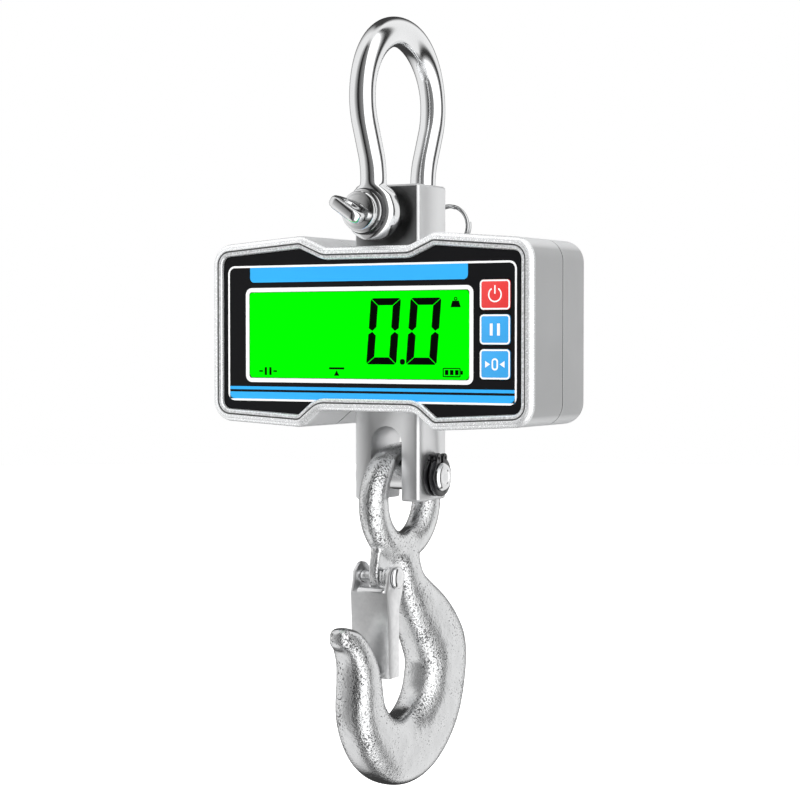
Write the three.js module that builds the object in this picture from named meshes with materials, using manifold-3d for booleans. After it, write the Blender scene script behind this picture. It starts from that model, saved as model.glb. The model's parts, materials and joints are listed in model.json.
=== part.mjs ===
// Hanging crane scale: bow shackle, load cell block, display housing and eye hook with a spring latch.
// Millimetres. X to the right, Y to the back, Z up. The origin is the inside of the shackle's crown,
// where the scale hangs from whatever holds it up.
import * as THREE from 'three';
import { mergeVertices } from 'three/addons/utils/BufferGeometryUtils.js';
import Module from 'manifold-3d';

const wasm = await Module();
wasm.setup();

// ---- Driving dimensions -------------------------------------------------------------------------

const GAP = 0.3; // clearance kept between pieces that touch

// Shackle
const ROD_D = 13; // rod of the legs
const CROWN_D = 15.2; // rod at the crown
const BEND_R = 35.8; // centre line of the bend
const LEG_ANGLE = 22; // degrees the legs lean in
const SHACKLE_L = 85; // inside of the crown to the pin's axis
const JAW = 36; // between the ears
const EAR_D = 27.8; // front ear
const EAR_REAR_D = 21.5; // rear ear, hidden behind the block
const EAR_T = 14.2;
const SHACKLE_PIN_D = 13;
const PIN_COLLAR_D = 19.4;
const PIN_FLANGE_D = 21.6;
const PIN_COLLAR_T = 6;
const PIN_WASHER_D = 23.2;
const PIN_WASHER_T = 2.2;
const TAB_L = 14.5;
const TAB_W = 20;
const TAB_T = 6;
const TAB_HOLE_D = 7.5;
const TAB_TILT = 146; // degrees about the pin, from +X
const TAIL_D = 9;
const TAIL_L = 9.5;
const RING_R = 10.6; // middle of the split ring's wire
const RING_WIRE = 2;
const RING_TILT = -25; // degrees about the pin, from +X, to the ring's centre

// Load cell block
const BLOCK_W = 37.2;
const BLOCK_D = 29;
const BLOCK_CHAMFER = 1;
const BLOCK_Y = 2; // centre of the block behind the shackle's plane
const LUG_H = 14.6; // block above the shackle pin's axis
const PIN_TO_PIN = 133;
const CLEVIS_H = 12.1; // block below the hook pin's axis
const SLOT_W = 18;
const SLOT_RISE = 25.8; // hook pin's axis to the top of the slot's arch
const WAIST_BORE_D = 13;
const WAIST_PITCH = 24;
const POCKET_W = 26;
const POCKET_H = 44;
const POCKET_DEEP = 5;
const HOOK_PIN_D = 14.5;
const HOOK_PIN_END = 7.7; // pin past the block's right face
const HOOK_PIN_HEAD_D = 19;
const HOOK_PIN_HEAD_T = 3;
const PIN_GROOVE = 0.7;
const CIRCLIP_D = 20;
const CIRCLIP_T = 1.9;
const CIRCLIP_STEP = 3.4;
const CIRCLIP_LUG_D = 4.4;

// Hook, measured from the hook pin's axis
const EYE_BORE_D = 36.2;
const EYE_W = 72;
const EYE_H = 62;
const EYE_T = 14;
const BOWL_R = 23.5;
const BOWL_Y = -7;
const BOWL_Z = -99.5;
const LATCH_LUG_T = 5.5;
const RIVET_Y = -22.5;
const RIVET_Z = -49.8;
const RIVET_D = 5.6;
const RIVET_HEAD_D = 11.4;
const LATCH_W = 21;
const LATCH_SHEET = 1.6;
const LATCH_L = 50.2; // rivet's axis to the latch's lower end
const LATCH_EAR_R = 7.3;
const LATCH_DEEP = 9.6;
const LATCH_FRONT = -32; // front of the latch's plate, behind the hook pin
const LATCH_LEAN = 2.6; // the plate's lower end behind its upper end
const SPRING_WIRE = 1.2;
const SPRING_R = 4.4;

// Housing
const HOUSING_W = 185;
const HOUSING_D = 62;
const HOUSING_Y = -34; // front rim
const HOUSING_DROP = 60; // shackle pin's axis to the housing's middle
const CORNER_TOP = 44.9; // heights above and below the middle
const SHOULDER_TOP = 49;
const NOTCH_TOP = 43;
const CORNER_LOW = 45.1;
const SHOULDER_LOW = 48;
const NOTCH_LOW = 39.3;
const SHOULDER_X = 38;
const NOTCH_TOP_X = 24;
const NOTCH_LOW_X = 27;
const CORNER_R = 11;
const SHOULDER_R = 8;
const WALL = 2.6;
const FRONT_EDGE_R = 3.4;
const BACK_EDGE_R = 5;
const FRONT_DEPTH = 34; // front rim to the seam
const RIM_W = 6.2;
const PANEL_RECESS = 2.9;
const BACK_WALL = 3;
const SEAL_W = 3; // room between the block and the shells
const SEAL_H = 3;
const OVERLAY_T = 0.7;

// Panel
const WINDOW_W = 127.6;
const WINDOW_H = 43.4;
const WINDOW_X = -6.2;
const WINDOW_DROP = 1.2; // window's middle below the housing's middle
const WINDOW_T = 3;
const KEY_W = 16.4;
const KEY_H = 14.6;
const KEY_X = 71.8;
const KEY_TOP_Z = 18.1;
const KEY_PITCH = 16.7;
const KEY_DEEP = 4;
const KEY_PROUD = 0.3;
const KEY_TRAVEL = 0.5;

// Inside
const BOARD_T = 1.6;
const LCD_T = 2.5;
const BACKLIGHT_T = 3;
const LCD_FRAME_W = 3;
const CELL_D = 18.4;
const CELL_L = 65.2;
const CELL_X = -40;
const CELL_PITCH = 20.6;
const CELL_Y = 9.5;
const TRAY_WALL = 1.4;
const MAIN_BOARD_W = 53;
const MAIN_BOARD_H = 66;
const STANDOFF_L = 8.8;
const STANDOFF_D = 5.2;
const BOSS_D = 8;
const BOSS_INSET = 9.3;
const COVER_SCREW_D = 3;
const COVER_HEAD_D = 6.4;
const BRACKET_SCREW_D = 4.8;
const BRACKET_HEAD_D = 8.4;
const SCREW_PITCH = 20;
const BRACKET_RISE = 30; // screws above the housing's middle
const SOCKET_D = 9;
const LEAD_D = 2.4;

// ---- Places worked out from the dimensions ------------------------------------------------------

const PIN_Z = -SHACKLE_L;
const HOOK_Z = PIN_Z - PIN_TO_PIN;
const BLOCK_TOP = PIN_Z + LUG_H;
const BLOCK_LOW = HOOK_Z - CLEVIS_H;
const BLOCK_FRONT = BLOCK_Y - BLOCK_D / 2;
const BLOCK_BACK = BLOCK_Y + BLOCK_D / 2;
const MIDDLE_Z = PIN_Z - HOUSING_DROP;
const SEAM_Y = HOUSING_Y + FRONT_DEPTH;
const BACK_Y = HOUSING_Y + HOUSING_D;
const PANEL_Y = HOUSING_Y + PANEL_RECESS; // face that the overlay lies on
const OVERLAY_FRONT = PANEL_Y - OVERLAY_T - GAP / 3;
const INNER_FRONT = PANEL_Y + WALL;
const INNER_BACK = BACK_Y - BACK_WALL;
const LCD_Y = INNER_FRONT + GAP;
const DISPLAY_BOARD_Y = LCD_Y + LCD_T + BACKLIGHT_T + 2 * GAP;
const EAR_OUT = JAW / 2 + EAR_T;
const BRACKET_Z = MIDDLE_Z + BRACKET_RISE;
const BRACKET_PLACES = [-1, 1].map((side) => [(side * SCREW_PITCH) / 2, 0, BRACKET_Z]);
const WINDOW_Z = MIDDLE_Z - WINDOW_DROP;
const REACH = 2 * HOUSING_D; // longer than any wall is deep
const RAD = Math.PI / 180;

// ---- Solids -------------------------------------------------------------------------------------

// Closed index of a geometry, without its normals and the empty triangles at poles.
function closed(geometry) {
  const plain = geometry.clone();
  plain.deleteAttribute('normal');
  plain.deleteAttribute('uv');
  const merged = mergeVertices(plain, 1e-4);
  const position = merged.attributes.position;
  const index = [];
  let volume = 0;
  const [a, b, c] = [new THREE.Vector3(), new THREE.Vector3(), new THREE.Vector3()];
  for (let i = 0; i < merged.index.count; i += 3) {
    const [p, q, r] = [0, 1, 2].map((k) => merged.index.getX(i + k));
    if (p === q || q === r || r === p) continue;
    index.push(p, q, r);
    a.fromBufferAttribute(position, p);
    b.fromBufferAttribute(position, q);
    c.fromBufferAttribute(position, r);
    volume += a.dot(b.cross(c));
  }
  if (volume < 0) index.reverse();
  merged.setIndex(index);
  return merged;
}

function solid(geometry) {
  const body = closed(geometry);
  return new wasm.Manifold(new wasm.Mesh({
    numProp: 3,
    vertProperties: new Float32Array(body.attributes.position.array),
    triVerts: new Uint32Array(body.index.array),
  }));
}

function geometryOf(body) {
  const mesh = body.getMesh();
  const geometry = new THREE.BufferGeometry();
  geometry.setAttribute('position', new THREE.BufferAttribute(new Float32Array(mesh.vertProperties), 3));
  geometry.setIndex(new THREE.BufferAttribute(new Uint32Array(mesh.triVerts), 1));
  return geometry;
}

// Joins the pieces and takes the cuts away.
function carve(pieces, cuts = []) {
  let body = solid(pieces[0]);
  for (const piece of pieces.slice(1)) body = body.add(solid(piece));
  for (const cut of cuts) body = body.subtract(solid(cut));
  return geometryOf(body);
}

function box(x0, x1, y0, y1, z0, z1) {
  const geometry = new THREE.BoxGeometry(x1 - x0, y1 - y0, z1 - z0);
  return geometry.translate((x0 + x1) / 2, (y0 + y1) / 2, (z0 + z1) / 2);
}

// A shape pushed from one plane to another: 'x' reads it as (y, z), 'y' as (x, z), 'z' as (x, y).
function prism(axis, shape, from, to, edge = 0, edgeSteps = 3) {
  const bevel = { bevelEnabled: edge > 0, bevelSize: edge, bevelThickness: edge, bevelOffset: -edge };
  const depth = to - from - 2 * edge;
  const geometry = new THREE.ExtrudeGeometry(shape, { depth, ...bevel, bevelSegments: edgeSteps });
  geometry.translate(0, 0, edge);
  const X = new THREE.Vector3(1, 0, 0);
  const Y = new THREE.Vector3(0, 1, 0);
  const Z = new THREE.Vector3(0, 0, 1);
  if (axis === 'x') {
    geometry.applyMatrix4(new THREE.Matrix4().makeBasis(Y, Z, X));
    return geometry.translate(from, 0, 0);
  }
  if (axis === 'y') {
    geometry.applyMatrix4(new THREE.Matrix4().makeBasis(X, Z, Y.clone().negate()));
    return geometry.translate(0, to, 0);
  }
  return geometry.translate(0, 0, from);
}

// A turned piece: pairs of (distance along the axis, radius), on 'x' or 'y', about a point.
function turned(axis, profile, centre, sides = 24) {
  const points = profile.map(([along, radius]) => new THREE.Vector2(radius, along));
  const geometry = new THREE.LatheGeometry(points, sides);
  if (axis === 'x') geometry.rotateZ(-Math.PI / 2);
  if (axis === 'z') geometry.rotateX(Math.PI / 2);
  return geometry.translate(centre[0], centre[1], centre[2]);
}

function rod(axis, diameter, from, to, centre, sides = 24) {
  const r = diameter / 2;
  return turned(axis, [[from, 0], [from, r], [to, r], [to, 0]], centre, sides);
}

function roundRect(width, height, radius, cx = 0, cy = 0) {
  const [w, h] = [width / 2, height / 2];
  const corners = [[cx - w, cy - h], [cx + w, cy - h], [cx + w, cy + h], [cx - w, cy + h]];
  return new THREE.Shape(roundedCorners(corners.map(([x, y]) => [x, y, radius]), 4));
}

// Corner points [x, y, radius] turned into an outline with an arc at each corner.
function roundedCorners(corners, steps) {
  const points = [];
  corners.forEach(([x, y, radius], i) => {
    const here = new THREE.Vector2(x, y);
    const before = corners.at(i - 1);
    const after = corners[(i + 1) % corners.length];
    const back = new THREE.Vector2(before[0], before[1]).sub(here).normalize();
    const on = new THREE.Vector2(after[0], after[1]).sub(here).normalize();
    const half = Math.acos(THREE.MathUtils.clamp(back.dot(on), -1, 1)) / 2;
    if (radius < 0.05) {
      points.push(here);
      return;
    }
    const reach = radius / Math.tan(half);
    const centre = here.clone().add(back.clone().add(on).normalize().multiplyScalar(radius / Math.sin(half)));
    const start = here.clone().addScaledVector(back, reach).sub(centre);
    const end = here.clone().addScaledVector(on, reach).sub(centre);
    const turn = Math.atan2(start.cross(end), start.dot(end));
    for (let k = 0; k <= steps; k += 1) {
      points.push(start.clone().rotateAround(new THREE.Vector2(), (turn * k) / steps).add(centre));
    }
  });
  return points;
}

// A unit cylinder bent through stations {y, z, a, b}: a is the half depth in the plane, b along X.
function loft(stations, sides, squareness = 2) {
  const last = stations.length - 1;
  const geometry = new THREE.CylinderGeometry(1, 1, 1, sides, last);
  const position = geometry.attributes.position;
  for (let i = 0; i < position.count; i += 1) {
    const k = Math.round((0.5 - position.getY(i)) * last);
    const here = stations[k];
    const before = stations[Math.max(k - 1, 0)];
    const after = stations[Math.min(k + 1, last)];
    const along = new THREE.Vector2(after.y - before.y, after.z - before.z).normalize();
    const [u, v] = [position.getX(i), position.getZ(i)];
    const size = (Math.abs(u) ** squareness + Math.abs(v) ** squareness) ** (1 / squareness) || 1;
    const radius = Math.hypot(u, v);
    const inPlane = (here.a * u * radius) / size;
    const across = (here.b * v * radius) / size;
    position.setXYZ(i, across, here.y - along.y * inPlane, here.z + along.x * inPlane);
  }
  return geometry;
}

// Smooth stations through hand-set ones [y, z, a, b].
function stationsThrough(keys, count) {
  const path = new THREE.CatmullRomCurve3(keys.map(([y, z]) => new THREE.Vector3(0, y, z)));
  const sizes = new THREE.CatmullRomCurve3(keys.map(([, , a, b]) => new THREE.Vector3(a, b, 0)));
  return Array.from({ length: count + 1 }, (_, i) => {
    const point = path.getPoint(i / count);
    const size = sizes.getPoint(i / count);
    return { y: point.y, z: point.z, a: size.x, b: size.y };
  });
}

function tube(points, diameter, steps, sides = 8) {
  const corners = Array.from({ length: sides }, (_, k) => {
    const angle = (2 * Math.PI * k) / sides;
    return new THREE.Vector2((diameter / 2) * Math.cos(angle), (diameter / 2) * Math.sin(angle));
  });
  const extrudePath = new THREE.CatmullRomCurve3(points.map((p) => new THREE.Vector3(...p)));
  return new THREE.ExtrudeGeometry(new THREE.Shape(corners), { steps, extrudePath });
}

// ---- The assembly -------------------------------------------------------------------------------

const FINISHES = {
  stainless: ['#c9cbcd', 0.18, 1],
  blackSteel: ['#17181a', 0.45, 0.8],
  blockSteel: ['#a9abad', 0.32, 1],
  zinc: ['#b9bbbc', 0.38, 1],
  zincSheet: ['#c4c6c8', 0.25, 1],
  brass: ['#b89a4e', 0.35, 1],
  alloy: ['#c6c8c9', 0.42, 0.9],
  rubber: ['#161616', 0.8, 0],
  overlay: ['#1b1b1d', 0.35, 0],
  clear: ['#22e516', 0.1, 0],
  board: ['#1f5a34', 0.55, 0],
  whitePlastic: ['#e9e9e6', 0.5, 0],
  blackPlastic: ['#232323', 0.55, 0],
  redKey: ['#e93237', 0.4, 0],
  blueKey: ['#38aef2', 0.4, 0],
  batteryWrap: ['#2f62a8', 0.4, 0],
};

const scale = new THREE.Group();

function add(name, geometry, finish) {
  const [color, roughness, metalness] = FINISHES[finish];
  const material = new THREE.MeshStandardMaterial({ color, roughness, metalness });
  const mesh = new THREE.Mesh(closed(geometry), material);
  mesh.name = name;
  scale.add(mesh);
  return mesh;
}

// Shackle -----------------------------------------------------------------------------------------

// Centre line of one half of the bow, from the crown to the ear, with the rod's size on the way.
function bowHalf(earD) {
  const lean = LEG_ANGLE * RAD;
  const centreZ = CROWN_D / 2 - BEND_R;
  const earY = JAW / 2 + EAR_T / 2;
  const stations = [];
  const bendSteps = 12;
  for (let k = 0; k <= bendSteps; k += 1) {
    const angle = ((90 + LEG_ANGLE) * k) / bendSteps;
    const thick = THREE.MathUtils.lerp(CROWN_D, ROD_D, THREE.MathUtils.smoothstep(angle, 20, 80)) / 2;
    const [y, z] = [BEND_R * Math.sin(angle * RAD), centreZ + BEND_R * Math.cos(angle * RAD)];
    stations.push({ y, z, a: thick, b: thick });
  }
  const elbowZ = stations.at(-1).z - (stations.at(-1).y - earY) / Math.tan(lean);
  const blend = 5.5;
  const straight = new THREE.Vector2(earY + blend * Math.sin(lean), elbowZ + blend * Math.cos(lean));
  const bend = new THREE.QuadraticBezierCurve(
    straight,
    new THREE.Vector2(earY, elbowZ),
    new THREE.Vector2(earY, elbowZ - blend),
  );
  bend.getPoints(4).forEach((p) => stations.push({ y: p.x, z: p.y, a: ROD_D / 2, b: ROD_D / 2 }));
  const flare = 10;
  for (let k = 1; k <= 4; k += 1) {
    const b = THREE.MathUtils.lerp(ROD_D / 2, earD / 2 - 2.5, (k / 4) ** 1.6);
    const z = THREE.MathUtils.lerp(elbowZ - blend, PIN_Z + flare / 2, k / 4);
    stations.push({ y: earY, z, a: ROD_D / 2, b });
  }
  return stations;
}

function shackle() {
  const front = bowHalf(EAR_D).slice(1).reverse().map((s) => ({ ...s, y: -s.y }));
  const bow = loft([...front, ...bowHalf(EAR_REAR_D)], 14);
  const [t, edge] = [EAR_T / 2, 2.2];
  const ears = [[-1, EAR_D / 2], [1, EAR_REAR_D / 2]].map(([side, r]) => {
    const face = [[-t, 0], [-t, r - edge], [-t + edge * 0.3, r - edge * 0.3], [-t + edge, r]];
    const ear = [...face, ...face.map(([along, radius]) => [-along, radius]).reverse()];
    return turned('y', ear, [0, side * (JAW / 2 + t), PIN_Z], 24);
  });
  const bore = rod('y', SHACKLE_PIN_D + 2 * GAP, -EAR_OUT - 1, EAR_OUT + 1, [0, 0, PIN_Z], 24);
  add('shackle_bow', carve([bow, ...ears], [bore]), 'stainless');
}

// Headed pin with a flared tab to turn it by, and a tail drilled for the split ring.
function shacklePin() {
  const seat = -EAR_OUT - GAP - PIN_WASHER_T - GAP;
  const front = seat - PIN_COLLAR_T;
  const body = turned('y', [
    [front, 0], [front, PIN_COLLAR_D / 2 - 1], [front + 1, PIN_COLLAR_D / 2],
    [front + 2.8, PIN_COLLAR_D / 2], [front + 3.2, PIN_COLLAR_D / 2 - 1], [front + 3.9, PIN_COLLAR_D / 2 - 1],
    [front + 4.3, PIN_FLANGE_D / 2], [seat, PIN_FLANGE_D / 2],
    [seat, SHACKLE_PIN_D / 2], [EAR_OUT, SHACKLE_PIN_D / 2],
    [EAR_OUT + 0.6, TAIL_D / 2], [EAR_OUT + TAIL_L - 0.8, TAIL_D / 2],
    [EAR_OUT + TAIL_L, TAIL_D / 2 - 0.8], [EAR_OUT + TAIL_L, 0],
  ], [0, 0, 0], 24);
  const neck = TAB_W * 0.62;
  const outline = roundedCorners([
    [-TAB_W / 2, -TAB_L, 4], [TAB_W / 2, -TAB_L, 4], [TAB_W / 2 - 0.5, -TAB_L + 7, 5],
    [neck / 2, 1.5, 0], [-neck / 2, 1.5, 0], [-TAB_W / 2 + 0.5, -TAB_L + 7, 5],
  ], 4);
  const tab = prism('z', new THREE.Shape(outline), -TAB_T / 2, TAB_T / 2, 1.2, 2);
  tab.rotateY(-TAB_TILT * RAD).translate(0, front, 0);
  const eye = rod('z', TAB_HOLE_D, -TAB_T, TAB_T, [0, -TAB_L * 0.5, 0], 20);
  eye.rotateY(-TAB_TILT * RAD).translate(0, front, 0);
  const tangent = (RING_TILT + 90) * RAD;
  const cross = rod('x', 2 * RING_WIRE + 2.2, -TAIL_D, TAIL_D, [0, 0, 0], 20);
  cross.rotateY(-tangent).translate(0, EAR_OUT + TAIL_L / 2, 0);
  const pin = carve([body, tab], [eye, cross]);
  pin.translate(0, 0, PIN_Z);
  add('shackle_pin', pin, 'stainless');

  const washer = [[0, SHACKLE_PIN_D / 2 + GAP], [0, PIN_WASHER_D / 2 - 0.5], [0.5, PIN_WASHER_D / 2]];
  washer.push([PIN_WASHER_T, PIN_WASHER_D / 2], [PIN_WASHER_T, SHACKLE_PIN_D / 2 + GAP]);
  washer.push(washer[0]);
  add('pin_washer', turned('y', washer, [0, seat + GAP, PIN_Z], 20), 'blackSteel');
}

// Two turns of wire lying against each other, threaded through the pin's tail.
function splitRing() {
  const turns = 1.85;
  const steps = 36;
  const pitch = RING_WIRE + 0.25;
  const start = (RING_TILT + 180 - 20) * RAD;
  const [cx, cz] = [RING_R * Math.cos(RING_TILT * RAD), PIN_Z + RING_R * Math.sin(RING_TILT * RAD)];
  const points = [];
  for (let k = 0; k <= steps; k += 1) {
    const angle = start - 1.2 + (turns * 2 * Math.PI * k) / steps;
    const y = EAR_OUT + TAIL_L / 2 + pitch * (turns * (k / steps - 0.5));
    points.push([cx + RING_R * Math.cos(angle), y, cz + RING_R * Math.sin(angle)]);
  }
  add('split_ring', tube(points, RING_WIRE, steps), 'stainless');
}

// Load cell ---------------------------------------------------------------------------------------

function loadCell() {
  const [w, d, c] = [BLOCK_W / 2, BLOCK_D / 2, BLOCK_CHAMFER];
  const section = new THREE.Shape([
    [-w + c, -d], [w - c, -d], [w, -d + c], [w, d - c], [w - c, d], [-w + c, d], [-w, d - c], [-w, -d + c],
  ].map(([x, y]) => new THREE.Vector2(x, y + BLOCK_Y)));
  const block = prism('z', section, BLOCK_LOW, BLOCK_TOP, BLOCK_CHAMFER, 1);

  const archZ = HOOK_Z + SLOT_RISE - SLOT_W / 2;
  const slot = new THREE.Shape();
  slot.moveTo(-SLOT_W / 2, BLOCK_LOW - 1);
  slot.lineTo(SLOT_W / 2, BLOCK_LOW - 1);
  for (let k = 0; k <= 10; k += 1) {
    const angle = (Math.PI * k) / 10;
    slot.lineTo((SLOT_W / 2) * Math.cos(angle), archZ + (SLOT_W / 2) * Math.sin(angle));
  }
  const cuts = [
    prism('y', slot, BLOCK_FRONT - 1, BLOCK_BACK + 1),
    rod('y', SHACKLE_PIN_D + 4 * GAP, -REACH, REACH, [0, 0, PIN_Z], 24),
    rod('x', HOOK_PIN_D + 2 * GAP, -BLOCK_W, BLOCK_W, [0, BLOCK_Y, HOOK_Z], 24),
    box(-2, 2, -REACH, REACH, MIDDLE_Z - WAIST_PITCH / 2, MIDDLE_Z + WAIST_PITCH / 2),
  ];
  for (const side of [-1, 1]) {
    const at = [0, 0, MIDDLE_Z + (side * WAIST_PITCH) / 2];
    cuts.push(rod('y', WAIST_BORE_D, -REACH, REACH, at, 20));
    const face = BLOCK_Y + (side * BLOCK_D) / 2;
    const [y0, y1] = side < 0 ? [face - 1, face + POCKET_DEEP] : [face - POCKET_DEEP, face + 1];
    cuts.push(box(-POCKET_W / 2, POCKET_W / 2, y0, y1, MIDDLE_Z - POCKET_H / 2, MIDDLE_Z + POCKET_H / 2));
  }
  BRACKET_PLACES.forEach((at) => {
    cuts.push(rod('y', BRACKET_SCREW_D + 2 * GAP, BLOCK_BACK - 10, BLOCK_BACK + 1, at, 12));
  });
  add('load_cell', carve([block], cuts), 'blockSteel');

  [['front', -1], ['rear', 1]].forEach(([place, side]) => {
    const floor = BLOCK_Y + side * (BLOCK_D / 2 - POCKET_DEEP);
    const lid = floor + side * (POCKET_DEEP - 1.6);
    const y = [lid, lid + side * 1.3].sort((p, q) => p - q);
    const [hw, hh] = [POCKET_W / 2 - GAP, POCKET_H / 2 - GAP];
    add(`gauge_cover_${place}`, box(-hw, hw, y[0], y[1], MIDDLE_Z - hh, MIDDLE_Z + hh), 'alloy');
    const g = [floor + side * GAP, floor + side * 0.9].sort((p, q) => p - q);
    add(`strain_gauge_${place}`, box(7, 12, g[0], g[1], MIDDLE_Z - 7, MIDDLE_Z + 7), 'brass');
  });
}

// Cross pin of the clevis, headed on the left and held by two circlips on the right.
function hookPin() {
  const face = BLOCK_W / 2;
  const r = HOOK_PIN_D / 2;
  const end = face + HOOK_PIN_END;
  const clips = [face + GAP, face + GAP + CIRCLIP_STEP];
  const seat = -face - GAP;
  const head = seat - HOOK_PIN_HEAD_T;
  const h = HOOK_PIN_HEAD_D / 2;
  const profile = [[head, 0], [head, h - 0.8], [head + 0.8, h], [seat, h], [seat, r]];
  for (const at of clips) {
    profile.push([at - 0.2, r], [at - 0.2, r - PIN_GROOVE], [at + CIRCLIP_T + 0.2, r - PIN_GROOVE]);
    profile.push([at + CIRCLIP_T + 0.2, r]);
  }
  profile.push([end - 1, r], [end, r - 1], [end, 0]);
  add('hook_pin', turned('x', profile, [0, BLOCK_Y, HOOK_Z], 24), 'stainless');

  ['inner', 'outer'].forEach((place, k) => {
    const [x0, x1] = [clips[k], clips[k] + CIRCLIP_T];
    const inner = HOOK_PIN_D - 2 * PIN_GROOVE + 2 * GAP;
    const [lugY, lugZ] = [CIRCLIP_LUG_D * 0.77, CIRCLIP_D / 2 - 0.4];
    const ring = rod('x', CIRCLIP_D, x0, x1, [0, 0, 0], 20);
    const lugs = [-1, 1].map((side) => rod('x', CIRCLIP_LUG_D, x0, x1, [0, side * lugY, lugZ], 10));
    const holes = [-1, 1].map((side) => rod('x', 1.6, x0 - 1, x1 + 1, [0, side * lugY, lugZ], 6));
    const mouth = box(x0 - 1, x1 + 1, -1.1, 1.1, 0, CIRCLIP_D);
    const bore = rod('x', inner, x0 - 1, x1 + 1, [0, 0, 0], 20);
    const clip = carve([ring, ...lugs], [bore, mouth, ...holes]);
    add(`pin_circlip_${place}`, clip.translate(0, BLOCK_Y, HOOK_Z), 'blackSteel');
  });
}

// Hook --------------------------------------------------------------------------------------------

const BORE_Z = HOOK_PIN_D / 2 + GAP - EYE_BORE_D / 2; // eye's bore, resting on the pin
const EYE_TOP = 9.6; // bar above the bore

function hookEye() {
  const geometry = new THREE.TorusGeometry(2, 1, 10, 32);
  const position = geometry.attributes.position;
  const outerZ = BORE_Z + EYE_BORE_D / 2 + EYE_TOP - EYE_H / 2;
  for (let i = 0; i < position.count; i += 1) {
    const [x, y, z] = [position.getX(i), position.getY(i), position.getZ(i)];
    const around = Math.atan2(y, x);
    const inward = Math.hypot(x, y) - 2;
    const inner = [(EYE_BORE_D / 2) * Math.cos(around), BORE_Z + (EYE_BORE_D / 2) * Math.sin(around)];
    const outer = [(EYE_W / 2) * Math.cos(around), outerZ + (EYE_H / 2) * Math.sin(around)];
    const mix = (1 + inward) / 2;
    position.setXYZ(
      i,
      (z * EYE_T) / 2,
      THREE.MathUtils.lerp(inner[0], outer[0], mix),
      THREE.MathUtils.lerp(inner[1], outer[1], mix),
    );
  }
  return geometry;
}

// Stations of the forged body from the neck, round the bowl and up to the point.
function hookStations() {
  const bowl = (angle, a, b) => [
    BOWL_Y + (BOWL_R + a) * Math.cos(angle * RAD),
    BOWL_Z + (BOWL_R + a) * Math.sin(angle * RAD),
    a,
    b,
  ];
  const keys = [
    [2.5, -36.5, 14, 6.6],
    [2.8, -48, 10.5, 7.6],
    [6, -57, 12, 8.6],
    [13.5, -67, 15, 10],
    [25, -78.5, 18.2, 11.2],
    [33.8, -89.5, 20.2, 12],
    bowl(0, 21, 12),
    bowl(-30, 20.6, 12),
    bowl(-60, 19.2, 12),
    bowl(-90, 17.6, 11.8),
    bowl(-120, 15.6, 11.2),
    bowl(-150, 13.5, 10.6),
    bowl(-180, 11, 10),
    [-45, -88.5, 8.8, 9],
    [-51.5, -80, 7, 7.6],
    [-58.5, -76.8, 5.4, 6],
    [-62.2, -76, 3.6, 4],
    [-63.6, -75.8, 0.8, 1],
  ];
  return stationsThrough(keys, 44);
}

function hook() {
  const body = loft(hookStations(), 14, 2.3);
  const lug = new THREE.Shape(roundedCorners([
    [-15, -30, 0], [-26, -35.5, 3], [RIVET_Y - 6.5, RIVET_Z + 2, 4], [RIVET_Y - 4, RIVET_Z - 7, 4],
    [RIVET_Y + 5, RIVET_Z - 8, 4], [0, -53, 0], [0, -38, 0],
  ], 3));
  const plate = prism('x', lug, -LATCH_LUG_T / 2, LATCH_LUG_T / 2);
  const bore = rod('x', RIVET_D + 2 * GAP, -LATCH_W, LATCH_W, [0, RIVET_Y, RIVET_Z], 16);
  const geometry = carve([hookEye(), body, plate], [bore]);
  add('hook', geometry.translate(0, BLOCK_Y, HOOK_Z), 'zinc');
}

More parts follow.
